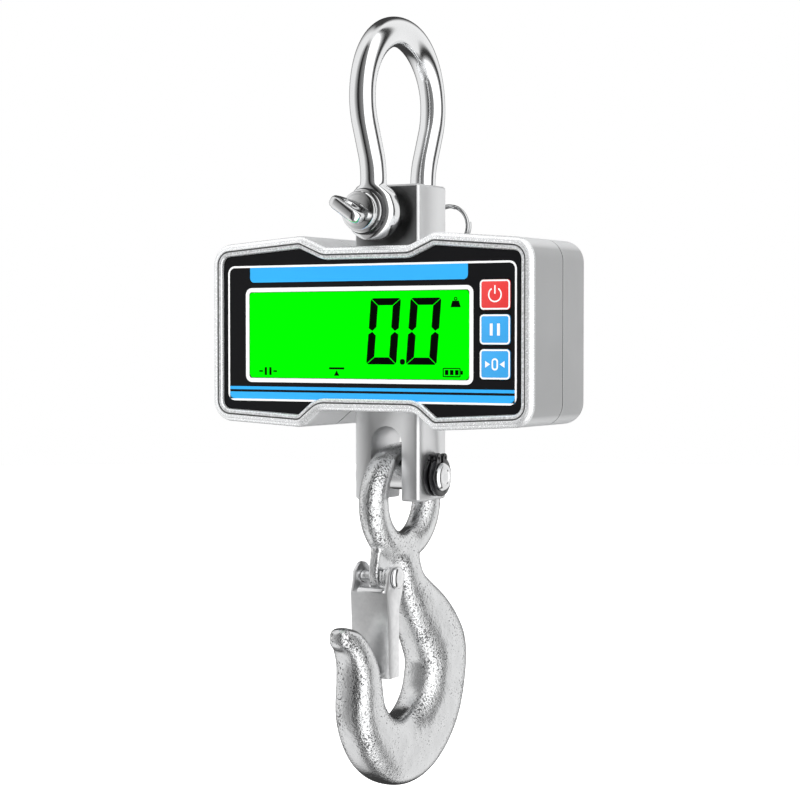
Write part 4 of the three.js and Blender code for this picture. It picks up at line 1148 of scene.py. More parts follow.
@dataclass
class Shackle:
    """Bow, headed pin with its washer, and the split ring in the pin's tail."""

    rod: float = 13 * MM  # thickness of the legs
    crown: float = 15.2 * MM  # thickness at the crown
    bend: float = 35.8 * MM  # radius of the crown, to the middle of the bar
    lean: float = 22.0  # degrees that the legs lean in
    elbow: float = 7 * MM  # length of the bend above the ears
    jaw: float = 36 * MM
    ear_thick: float = 14.2 * MM
    ear: float = 27.8 * MM
    rear_ear: float = 21.5 * MM
    bore: float = 13.6 * MM
    collar: float = 19.4 * MM
    flange: float = 21.6 * MM
    tail: float = 4.5 * MM  # radius of the pin's tail
    tail_bore: float = 3.1 * MM  # radius of the hole for the split ring
    tab: Place = (20 * MM, 14.5 * MM, 6 * MM)  # width, length and thickness
    tab_turn: float = 146.0
    tab_hole: float = 7.5 * MM
    wire: float = 2 * MM
    ring: float = 10.6 * MM  # radius to the middle of the wire
    ring_turn: float = -25.0
    ring_turns: float = 1.85

    def half(self, ear: float) -> list[Station]:
        """Lays out one half of the bow.

        Args:
            ear: Diameter of the ear.

        Returns:
            The stations from the crown to the foot of the ear.
        """
        lean = math.radians(self.lean)
        centre_z = self.crown / 2 - self.bend
        middle = (self.jaw + self.ear_thick) / 2
        stations = []
        turn = 90 + self.lean
        for k in range(73):
            angle = turn * k / 72
            t = max(0.0, min(1.0, (angle - 15) / 70))
            r = (self.crown + (self.rod - self.crown) * t * t * (3 - 2 * t)) / 2
            a = math.radians(angle)
            stations.append(Station(self.bend * math.sin(a), centre_z + self.bend * math.cos(a), r, r))
        elbow = stations[-1].z - (stations[-1].y - middle) / math.tan(lean)
        start = Vector((middle + self.elbow * math.sin(lean), elbow + self.elbow * math.cos(lean)))
        corner, stop = Vector((middle, elbow)), Vector((middle, elbow - self.elbow))
        for k in range(9):
            t = k / 8
            p = start * (1 - t) ** 2 + corner * 2 * t * (1 - t) + stop * t * t
            stations.append(Station(p.x, p.y, self.rod / 2, self.rod / 2))
        r, top, leg = ear / 2, SHACKLE_PIN.z, self.rod / 2
        rise = stop.y - top
        heights = [rise + (0.4 * r - rise) * k / 16 for k in range(1, 17)]
        heights += [r * math.cos(math.radians(a)) for a in range(70, 181, 4)]
        for h in heights:
            circle = math.sqrt(max(r * r - h * h, 0.0))
            share = max(0.0, min(1.0, h / (0.6 * r)))
            wide = (circle**3 + (leg * share) ** 3) ** (1 / 3)
            t = max(0.0, min(1.0, (rise - h) / (rise - 0.3 * r)))
            t = t * t * (3 - 2 * t)
            deep = leg + (self.ear_thick / 2 - leg) * t
            stations.append(Station(middle, top + h, deep, max(wide, 0.02 * MM), 2 + 1.8 * t))
        return stations

    def bow(self) -> None:
        """Builds the forged and polished bow with its bored ears."""
        front = [Station(-s.y, s.z, s.deep, s.wide, s.square) for s in self.half(self.ear)]
        body = forged("bow", front[:0:-1] + self.half(self.rear_ear), 80)
        reach = self.jaw / 2 + self.ear_thick
        r = self.bore / 2
        tool = [(-reach - MM, 0), (-reach - MM, r + 1.8 * MM), (-reach + 0.8 * MM, r)]
        tool += [(reach + MM, r), (reach + MM, 0)]
        cut(body, turned("bow_bore", tool, Axis.Y, Vector((0, 0, SHACKLE_PIN.z)), 56))
        dress(body, "shackle", "stainless", STAINLESS, "shackle_bow", sharp=50)

    def pin(self) -> None:
        """Builds the pin: grooved collar, drilled turning tab, shank and tail."""
        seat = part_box("pin_washer")[0].y - GAP
        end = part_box("shackle_pin")[1].y
        ear_out = self.jaw / 2 + self.ear_thick
        c, f, s = self.collar / 2, self.flange / 2, self.bore / 2 - GAP
        front = seat - 6 * MM
        collar = [
            (0, 0), (0, c - 2.2 * MM), (0.15 * MM, c - 1.8 * MM), (0.15 * MM, c - 1.2 * MM),
            (0.5 * MM, c - 0.3 * MM), (1.1 * MM, c), (2.2 * MM, c), (2.5 * MM, c - 0.5 * MM),
            (2.7 * MM, c - 1.3 * MM), (3.5 * MM, c - 1.3 * MM), (3.7 * MM, f - 0.7 * MM), (4.1 * MM, f),
        ]
        profile = [(front + y, radius) for y, radius in collar]
        profile += [(seat - 0.5 * MM, f), (seat, f - 0.4 * MM), (seat, s), (ear_out, s)]
        profile += [(ear_out + 0.6 * MM, self.tail), (end - 0.8 * MM, self.tail)]
        profile += [(end, self.tail - 0.8 * MM), (end, 0)]
        centre = Vector((0, 0, SHACKLE_PIN.z))
        body = turned("pin_body", profile, Axis.Y, centre)
        across = Matrix.Rotation(-math.radians(self.ring_turn + 90), 4, "Y")
        long, hole = 2 * self.tail, self.tail_bore
        drill = turned("tail_drill", [(-long, 0), (-long, hole), (long, hole), (long, 0)], Axis.X, Vector())
        drill.data.transform(Matrix.Translation((0, (ear_out + end) / 2, SHACKLE_PIN.z)) @ across)
        cut(body, drill)
        whole = joined("pin", [body, self.turning_tab(front)])
        dress(whole, "shackle", "stainless", TURNED, "shackle_pin", sharp=32)

    def washer(self) -> None:
        """Builds the dark washer under the pin's flange."""
        bore, centre = self.bore / 2, Vector((0, 0, SHACKLE_PIN.z))
        low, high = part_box("pin_washer")
        r = (high.x - low.x) / 2
        y0, y1, e = low.y, high.y, 0.4 * MM
        ring = [(y0, bore), (y0, r - e), (y0 + e, r), (y1 - e, r), (y1, r - e), (y1, bore)]
        washer = turned("washer", ring, Axis.Y, centre)
        dress(washer, "shackle", "black_steel", BLACK_STEEL, "pin_washer")

    def turning_tab(self, front: float) -> Object:
        """Builds the tab: a thick drilled plate that flares away from the collar.

        Args:
            front: Depth of the collar's face.

        Returns:
            The tab, in place.
        """
        w, l, t = self.tab[0] / 2, self.tab[1], self.tab[2] / 2
        neck = 0.62 * w
        corners = [(-w, -l, 4 * MM), (w, -l, 4 * MM), (w - 0.5 * MM, -l + 7 * MM, 5 * MM)]
        corners += [(neck, 1.4 * MM, 0.4 * MM), (-neck, 1.4 * MM, 0.4 * MM)]
        corners += [(-w + 0.5 * MM, -l + 7 * MM, 5 * MM)]
        outer = rounded(corners, 9)
        middle = Vector((0, -l * 0.5))
        r = self.tab_hole / 2
        loops = []
        rim = [(1.9 * MM, -t), (1.0 * MM, -t + 0.35 * MM), (0.3 * MM, -t + 1.1 * MM), (0, -t + 2 * MM)]
        for inset, z in rim + [(i, -z) for i, z in reversed(rim)]:
            loops.append([self.pulled(p, middle, inset, z) for p in outer])
        hole = [(1.1 * MM, t), (0.4 * MM, t - 0.3 * MM), (0, t - 1 * MM)]
        for grow, z in hole + [(g, -z) for g, z in reversed(hole)]:
            round_hole = [middle + (p - middle).normalized() * (r + grow) for p in outer]
            loops.append([self.pulled(p, middle, 0, z) for p in round_hole])
        tab = through_loops("tab", loops, ring=True)
        turn = Matrix.Rotation(-math.radians(self.tab_turn), 4, "Y")
        tab.data.transform(Matrix.Translation((0, front, SHACKLE_PIN.z)) @ turn)
        return tab

    @staticmethod
    def pulled(point: Vector, middle: Vector, inset: float, z: float) -> Vector:
        """Returns a point of the tab moved towards its middle, at a height."""
        inner = point + (middle - point).normalized() * inset
        return Vector((inner.x, inner.y, z))

    def split_ring(self) -> None:
        """Winds the split ring: two turns of wire lying against each other."""
        low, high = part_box("split_ring")
        turn = math.radians(self.ring_turn)
        away = Vector((self.ring * math.cos(turn), 0, self.ring * math.sin(turn)))
        centre = Vector((0, (low.y + high.y) / 2, SHACKLE_PIN.z)) + away
        turns, steps = self.ring_turns, 140
        pitch = self.wire + 0.25 * MM
        start = turn + math.radians(160) - 1.2
        points = []
        for k in range(steps + 1):
            a = start + turns * 2 * math.pi * k / steps
            y = pitch * turns * (k / steps - 0.5)
            points.append(centre + Vector((self.ring * math.cos(a), y, self.ring * math.sin(a))))
        sizes = {"Radius": self.wire / 2, "Sides": 16}
        ring = grown(path_object("ring", points), WIRE, SPRING_STEEL, sizes)
        dress(ring, "ring", "stainless", SPRING_STEEL, "split_ring", sharp=50)

    def build(self) -> None:
        """Builds the whole shackle."""
        self.bow()
        self.pin()
        self.washer()
        self.split_ring()


# ---- Load cell and its cross pin ----------------------------------------------------------------


@dataclass
class LoadCell:
    """Ground steel block, forked at its lower end, with the cross pin and its circlips."""

    edge: float = 0.5 * MM  # rounding of the block's edges
    clip_edge: float = 0.25 * MM
    pin: float = 14.5 * MM
    head: float = 19 * MM
    head_thick: float = 3 * MM

    def build(self) -> None:
        """Builds the block, the pin and the circlips."""
        body = soften(copied("load_cell", "block"), self.edge)
        dress(body, "scale", "block_steel", GROUND, "load_cell")
        for place in ("inner", "outer"):
            clip = soften(copied(f"pin_circlip_{place}", f"circlip_{place}"), self.clip_edge)
            dress(clip, "scale", "black_steel", BLACK_STEEL, f"pin_circlip_{place}")
        self.cross_pin()

    def cross_pin(self) -> None:
        """Builds the cross pin with its head, grooves and chamfered end."""
        low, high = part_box("hook_pin")
        r, h, e = self.pin / 2, self.head / 2, 0.8 * MM
        seat = low.x + self.head_thick
        profile = [(low.x, 0), (low.x, h - e), (low.x + e * 0.4, h - e * 0.35), (low.x + e, h)]
        profile += [(seat, h), (seat, r)]
        for place in ("inner", "outer"):
            a, b = (corner.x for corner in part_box(f"pin_circlip_{place}"))
            a, b, groove = a - 0.2 * MM, b + 0.2 * MM, r - 0.7 * MM
            profile += [(a, r), (a, groove), (b, groove), (b, r)]
        profile += [(high.x - 1.3 * MM, r), (high.x - 1.0 * MM, r - 0.15 * MM)]
        profile += [(high.x - 0.15 * MM, r - 1.0 * MM), (high.x, r - 1.3 * MM), (high.x, r - 3.2 * MM)]
        profile += [(high.x - 0.25 * MM, r - 3.6 * MM), (high.x - 0.25 * MM, 0)]
        body = turned("cross_pin", profile, Axis.X, Vector((0, HOOK_PIN.y, HOOK_PIN.z)))
        dress(body, "scale", "stainless", TURNED, "hook_pin")


# ---- Hook ---------------------------------------------------------------------------------------


@dataclass
class Hook:
    """Forged and galvanised eye hook with a sheet latch on a rivet."""

    pin: float = 14.5 * MM
    bore: float = 36.2 * MM
    eye_w: float = 72 * MM
    eye_h: float = 62 * MM
    eye_t: float = 14 * MM
    eye_top: float = 9.6 * MM
    bowl: float = 23.5 * MM
    bowl_y: float = -7 * MM
    bowl_z: float = -99.5 * MM
    lug: float = 5.5 * MM
    rivet: float = 5.6 * MM
    rivet_head: float = 11.4 * MM
    latch_w: float = 21 * MM
    fold: float = 1.9 * MM
    spring_wire: float = 1.2 * MM
    spring_r: float = 4.4 * MM
    voxel: float = 0.9 * MM

    def eye(self) -> Object:
        """Builds the eye as a ring whose bar is thicker at the bottom and the sides.

        Returns:
            The new object.
        """
        bore_z = self.pin / 2 + GAP - self.bore / 2
        outer_z = bore_z + self.bore / 2 + self.eye_top - self.eye_h / 2
        around, across = 80, 24
        loops = []
        for k in range(around):
            a = 2 * math.pi * k / around
            inner = Vector((self.bore / 2 * math.cos(a), bore_z + self.bore / 2 * math.sin(a)))
            outer = Vector((self.eye_w / 2 * math.cos(a), outer_z + self.eye_h / 2 * math.sin(a)))
            loop = []
            for i in range(across):
                b = 2 * math.pi * i / across
                p = inner.lerp(outer, (1 - math.cos(b)) / 2)
                loop.append(Vector((self.eye_t / 2 * math.sin(b), p.x, p.y)))
            loops.append(loop)
        return through_loops("eye", loops, ring=True)

    def round_bowl(self, angle: float, deep: float, wide: float) -> list[float]:
        """Works out one row of the bar where it follows the bowl.

        Args:
            angle: Angle round the bowl, in degrees.
            deep: Half size in the bowl's plane, in millimetres.
            wide: Half size across it, in millimetres.

        Returns:
            Depth, height and both half sizes, in millimetres.
        """
        a = math.radians(angle)
        r = self.bowl / MM + deep
        return [self.bowl_y / MM + r * math.cos(a), self.bowl_z / MM + r * math.sin(a), deep, wide]

    def bar(self) -> Object:
        """Builds the bar from the eye's foot, round the bowl and up to the turned-out point.

        Returns:
            The new object.
        """
        rows = [[-1.5, -34, 15, 6.2], [1.0, -41, 11.6, 6.8], [2.8, -48, 10.2, 7.6], [6, -57, 11.6, 8.6]]
        rows += [[13.5, -67, 14.8, 10], [25, -78.5, 18.2, 11.2], [33.8, -89.5, 20.2, 12]]
        bowl = [(0, 21, 12), (-30, 20.6, 12), (-60, 19.2, 12), (-90, 17.6, 11.8)]
        bowl += [(-120, 15.6, 11.2), (-150, 13.5, 10.6), (-180, 11, 10)]
        rows += [self.round_bowl(*values) for values in bowl]
        rows += [[-45, -88.5, 8.8, 9], [-51.5, -80, 7, 7.6], [-58.0, -76.8, 5.6, 6.1]]
        rows += [[-61.6, -76, 4.4, 4.8], [-63.4, -75.8, 2.2, 2.4]]
        stations = [Station(y * MM, z * MM, a * MM, b * MM, 2.9) for y, z, a, b in smooth_row(rows, 150)]
        return forged("bar", stations, 48)

    def lug_plate(self) -> Object:
        """Builds the plate in front of the neck that carries the rivet.

        Returns:
            The new object.
        """
        y, z = ((RIVET - HOOK_PIN).y, (RIVET - HOOK_PIN).z)
        corners = [(-15 * MM, -30 * MM, 0.2 * MM), (-26 * MM, -35.5 * MM, 3 * MM)]
        corners += [(y - 6.5 * MM, z + 2 * MM, 4 * MM)]
        corners += [(y - 4 * MM, z - 7 * MM, 4 * MM), (y + 5 * MM, z - 8 * MM, 4 * MM)]
        corners += [(0, -53 * MM, 0.2 * MM), (0, -38 * MM, 0.2 * MM)]
        outline = rounded(corners, 6)
        loops = [[Vector((x, p.x, p.y)) for p in outline] for x in (-self.lug / 2, self.lug / 2)]
        return through_loops("lug", loops)

    def forging(self) -> None:
        """Joins eye, bar and lug, runs them into each other and bores the lug."""
        whole = joined("hook_body", [self.eye(), self.bar(), self.lug_plate()])
        whole.data.transform(Matrix.Translation(HOOK_PIN))
        remesh = whole.modifiers.new("run", "REMESH")
        remesh.mode = "VOXEL"
        remesh.voxel_size = self.voxel
        relax = whole.modifiers.new("relax", "SMOOTH")
        relax.factor = 0.5
        relax.iterations = 18
        settle(whole)
        r = self.rivet / 2 + GAP
        w = self.latch_w
        cut(whole, turned("lug_bore", [(-w, 0), (-w, r), (w, r), (w, 0)], Axis.X, RIVET, 32))
        dress(whole, "hook", "zinc", ZINC, "hook", sharp=75)

    def folded(self, sheet: Object, edge: float, middle: float) -> Object:
        """Rounds the two outer folds of the latch.

        Args:
            sheet: The latch.
            edge: Half its width.
            middle: Depth that parts the folds from the cheeks' free edges.

        Returns:
            The same piece.
        """
        marks = sheet.data.attributes.new("bevel_weight_edge", "FLOAT", "EDGE")
        points = sheet.data.vertices
        for side in sheet.data.edges:
            a, b = (points[i].co for i in side.vertices)
            outer = min(abs(a.x), abs(b.x)) > edge - 0.1 * MM
            if outer and (a - b).length > 20 * MM and (a.y + b.y) / 2 < middle:
                marks.data[side.index].value = 1.0
        bevel = sheet.modifiers.new("fold", "BEVEL")
        bevel.width = self.fold
        bevel.segments = 5
        bevel.limit_method = "WEIGHT"
        return settle(sheet)

    def latch(self) -> None:
        """Builds the folded latch with its stop tongue."""
        low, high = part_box("latch")
        sheet = soften(self.folded(copied("latch", "latch_sheet"), high.x, (low.y + high.y) / 2), 0.4 * MM, 3)
        wide = (high.x - low.x) / 2 - 3.4 * MM
        top = RIVET.z - 7 * MM
        front = low.y + 0.25 * MM
        tongue = [(front, top - 1.5 * MM), (front, top + 0.6 * MM), (front + 1.2 * MM, top + 1.9 * MM)]
        tongue += [(front + 3.6 * MM, top + 2.5 * MM), (front + 3.4 * MM, top + 1.3 * MM)]
        tongue += [(front + 1.9 * MM, top + 0.9 * MM), (front + 1.3 * MM, top - 1.5 * MM)]
        loops = [[Vector((x, y, z)) for y, z in tongue] for x in (-wide, wide)]
        lip = soften(through_loops("tongue", loops), 0.25 * MM, 2, 50)
        whole = joined("latch_channel", [sheet, lip])
        dress(whole, "latch", "zinc_sheet", ZINC_SHEET, "latch")

    def latch_rivet(self) -> None:
        """Builds the rivet with its two flat heads."""
        w, r, h = self.latch_w / 2 + GAP, self.rivet / 2, self.rivet_head / 2
        half = [(w + 1.9 * MM, 0), (w + 1.85 * MM, h * 0.6), (w + 1.6 * MM, h * 0.84)]
        half += [(w + 1.1 * MM, h * 0.96), (w + 0.4 * MM, h), (w, h - 0.2 * MM), (w, r)]
        profile = [(-x, radius) for x, radius in half] + half[::-1]
        rivet = turned("rivet", profile, Axis.X, RIVET)
        dress(rivet, "latch", "zinc", TURNED, "latch_rivet", sharp=40)

    def latch_spring(self) -> None:
        """Winds the torsion spring, with one leg on the hook and one down the latch."""
        turns, step = 3.0, self.spring_wire + 0.28 * MM
        first = self.lug / 2 + 1.1 * MM
        coil = []
        for k in range(int(turns * 24) + 1):
            a = 2 * math.pi * (k / 24 - 0.5)
            at = Vector((first + k / 24 * step, self.spring_r * math.cos(a), self.spring_r * math.sin(a)))
            coil.append(at)
        legs = [Vector((first, -self.spring_r, 3.5 * MM))]
        last = coil[-1].x
        down = [Vector((last, -self.spring_r - 1 * MM, -5 * MM)), Vector((last, -6.4 * MM, -22 * MM))]
        points = [RIVET + p for p in legs + coil + down]
        sizes = {"Radius": self.spring_wire / 2, "Sides": 12}
        spring = grown(path_object("spring", points), WIRE, STAINLESS, sizes)
        dress(spring, "latch", "stainless", STAINLESS, "latch_spring", sharp=50)

    def build(self) -> None:
        """Builds the hook and its latch."""
        self.forging()
        self.latch()
        self.latch_rivet()
        self.latch_spring()


# ---- Housing ------------------------------------------------------------------------------------


@dataclass
class Housing:
    """Cast front shell with a raised rim, and the rear cover behind the seam."""

    corner_top: float = 44.9 * MM
    shoulder_top: float = 49 * MM
    notch_top: float = 43 * MM
    corner_low: float = 45.1 * MM
    shoulder_low: float = 48 * MM
    notch_low: float = 39.3 * MM
    shoulder_x: float = 38 * MM
    notch_top_x: float = 24 * MM
    notch_low_x: float = 27 * MM
    corner_r: float = 11 * MM
    shoulder_r: float = 8 * MM
    wall: float = 2.6 * MM
    rim: float = 6.2 * MM
    recess: float = 2.9 * MM
    front_r: float = 3.4 * MM
    back_r: float = 5 * MM
    seal: float = 3 * MM
    cap: float = 7 * MM
    shadow: float = 0.3 * MM  # each shell's share of the dark seam
    corners: list[tuple[float, float, float]] = field(default_factory=list)

    def __post_init__(self) -> None:
        """Works out the outline's corners, seen from the front."""
        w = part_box("front_shell")[1].x
        right = [
            (self.notch_top_x, self.notch_top, self.shoulder_r),
            (self.shoulder_x, self.shoulder_top, self.shoulder_r),
            (w, self.corner_top, self.corner_r),
            (w, -self.corner_low, self.corner_r),
            (self.shoulder_x, -self.shoulder_low, self.shoulder_r),
            (self.notch_low_x, -self.notch_low, self.shoulder_r),
        ]
        self.corners = right + [(-x, z, r) for x, z, r in reversed(right)]

    def swept(self, name: str, section: Sequence[Flat], closed: bool) -> Object:
        """Carries a section of (inset, y) points round the outline.

        Args:
            name: The piece's name.
            section: The wall's section.
            closed: Joins the section's last point to its first.

        Returns:
            The wall, in place.
        """
        count, extra = len(self.corners), len(section)
        mesh = bpy.data.meshes.new(name)
        points = [(x, z, 0.0) for x, z, _ in self.corners] + [(inset, y, 0.0) for inset, y in section]
        edges = [(i, (i + 1) % count) for i in range(count)]
        edges += [(count + i, count + (i + 1) % extra) for i in range(extra if closed else extra - 1)]
        mesh.from_pydata(points, edges, [])
        fillet = mesh.attributes.new("fillet", "FLOAT", "POINT")
        fillet.data.foreach_set("value", [r for *_, r in self.corners] + [-1.0] * extra)
        wall = bpy.data.objects.new(name, mesh)
        bpy.context.collection.objects.link(wall)
        grown(wall, WALL, CAST, {"Corner steps": 11})
        flat = Matrix(((1, 0, 0, 0), (0, 0, -1, 0), (0, 1, 0, MIDDLE_Z), (0, 0, 0, 1)))
        wall.data.transform(flat)
        work = bmesh.new()
        work.from_mesh(wall.data)
        bmesh.ops.remove_doubles(work, verts=work.verts, dist=1e-6)
        if not closed:
            bmesh.ops.holes_fill(work, edges=[e for e in work.edges if e.is_boundary])
        bmesh.ops.recalc_face_normals(work, faces=work.faces)
        work.to_mesh(wall.data)
        work.free()
        return wall

    def room(self) -> Object:
        """Makes the cutter that lets the block through the top and bottom walls.

        Returns:
            The cutter.
        """
        low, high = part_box("load_cell")
        spare = Vector((self.seal, self.seal, 0.05))
        return block("block_room", low - spare, high + spare)

    @staticmethod
    def round_edge(r: float) -> list[Flat]:
        """Returns (inset, depth) points of a rounded edge, from the wall to the face."""
        turn = [math.radians(a) for a in range(0, 91, 10)]
        return [(r - r * math.cos(a), r - r * math.sin(a)) for a in turn]

    def front_casing(self) -> None:
        """Builds the front shell: rounded edge, groove, flat band and the step down to the film."""
        low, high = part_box("front_shell")
        front, seam = low.y, high.y - self.shadow
        r, rim, step, floor = self.front_r, self.rim, front + 0.3 * MM, front + self.recess
        section = [(0.2 * MM, seam), (0, seam - 0.2 * MM)]
        section += [(inset, front + deep) for inset, deep in self.round_edge(r)]
        section += [(r + 0.15 * MM, front + 0.06 * MM), (r + 0.3 * MM, front + 0.8 * MM)]
        section += [(r + 0.9 * MM, front + 0.8 * MM), (r + 1.0 * MM, step), (r + 1.1 * MM, step)]
        section += [(rim - 0.75 * MM, step), (rim - 0.45 * MM, step + 0.1 * MM)]
        section += [(rim - 0.1 * MM, step + 0.5 * MM), (rim, step + 0.9 * MM), (rim, floor)]
        section += [(rim + 1.5 * MM, floor), (rim + 1.5 * MM, floor + self.wall)]
        section += [(self.wall, floor + self.wall), (self.wall, seam)]
        shell = cut(self.swept("front_casing", section, True), self.room())
        dress(shell, "scale", "alloy", CAST, "front_shell", sharp=25)

    def rear_casing(self) -> None:
        """Builds the rear cover with its four screw recesses."""
        low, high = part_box("rear_cover")
        start, back = low.y + self.shadow, high.y
        inner = back - 3 * MM
        section = [(self.cap, inner), (self.wall, inner), (self.wall, start), (0.2 * MM, start)]
        section += [(0, start + 0.2 * MM)]
        section += [(inset, back - deep) for inset, deep in self.round_edge(self.back_r)]
        section += [(self.cap, back)]
        cover = self.swept("rear_casing", section, False)
        tools = [self.room()]
        for k in range(4):
            low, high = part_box(f"cover_screw_{k + 1}")
            place = Vector(((low.x + high.x) / 2, 0, (low.z + high.z) / 2))
            hole = (high.x - low.x) / 2 + GAP
            tool = [(inner, 0), (inner, hole), (back - 0.4 * MM, hole)]
            tool += [(back + MM, hole + 1.4 * MM), (back + MM, 0)]
            tools.append(turned(f"recess_{k}", tool, Axis.Y, place, 40))
        cut(cover, *tools)
        dress(cover, "scale", "alloy", CAST, "rear_cover", sharp=38)

    def laid(self, name: str, across: Flat, depth: Flat, slot: str, finish: Finish) -> None:
        """Lays a square line round the outline.

        Args:
            name: The piece's name.
            across: Its two sides, as insets from the outline.
            depth: Its face and its foot.
            slot: The record's material slot.
            finish: Its finish.
        """
        (low, high), (face, foot) = across, depth
        section = [(low, face), (high, face), (high, foot), (low, foot)]
        line = cut(self.swept(name, section, True), self.room())
        dress(line, "scale", slot, finish)

    def build(self) -> None:
        """Builds both shells, the painted shadow line in the rim's groove and the cord in the seam."""
        front, seam = (corner.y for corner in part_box("front_shell"))
        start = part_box("rear_cover")[0].y
        r, share = self.front_r, self.shadow - 0.05 * MM
        groove = (front + 0.42 * MM, front + 0.76 * MM)
        self.front_casing()
        # A dark strip in the rim's groove paints the shadow that the groove would hold.
        self.laid("rim_shadow_line", (r + 0.32 * MM, r + 0.88 * MM), groove, "alloy", GROOVE_SHADOW)
        self.rear_casing()
        self.laid("seam_cord", (0.3 * MM, 1.6 * MM), (seam - share, start + share), "rubber", RUBBER)


@dataclass
class Fixings:
    """Screws on the back of the housing."""

    corner_socket: float = 1.5 * MM
    bracket_socket: float = 2.2 * MM

    def heads(self, name: str, nodes: Sequence[str], height: float, socket: float) -> None:
        """Grows one piece with a socket head for each of the named screws.

        Args:
            name: The piece's name.
            nodes: The CAD screws it stands for.
            height: Height of a head.
            socket: Radius of the hex socket.
        """
        boxes = [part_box(node) for node in nodes]
        back = boxes[0][1].y
        radius = (boxes[0][1].x - boxes[0][0].x) / 2
        spots = [((lo.x + hi.x) / 2, back - height, (lo.z + hi.z) / 2) for lo, hi in boxes]
        piece = path_object(name, spots)
        sizes = {"Radius": radius, "Height": height, "Socket": socket}
        grown(piece, HEADS, TURNED, sizes)
        soften(piece, 0.12 * MM, 2)
        dress(piece, "scale", "stainless", TURNED, *nodes)

    def build(self) -> None:
        """Builds the corner screws' and the bracket screws' heads."""
        self.heads("corner_screws", [f"cover_screw_{k}" for k in range(1, 5)], 2.2 * MM, self.corner_socket)
        self.heads("bracket_screws", [f"bracket_screw_{k}" for k in (1, 2)], 2.3 * MM, self.bracket_socket)


# ---- Panel --------------------------------------------------------------------------------------


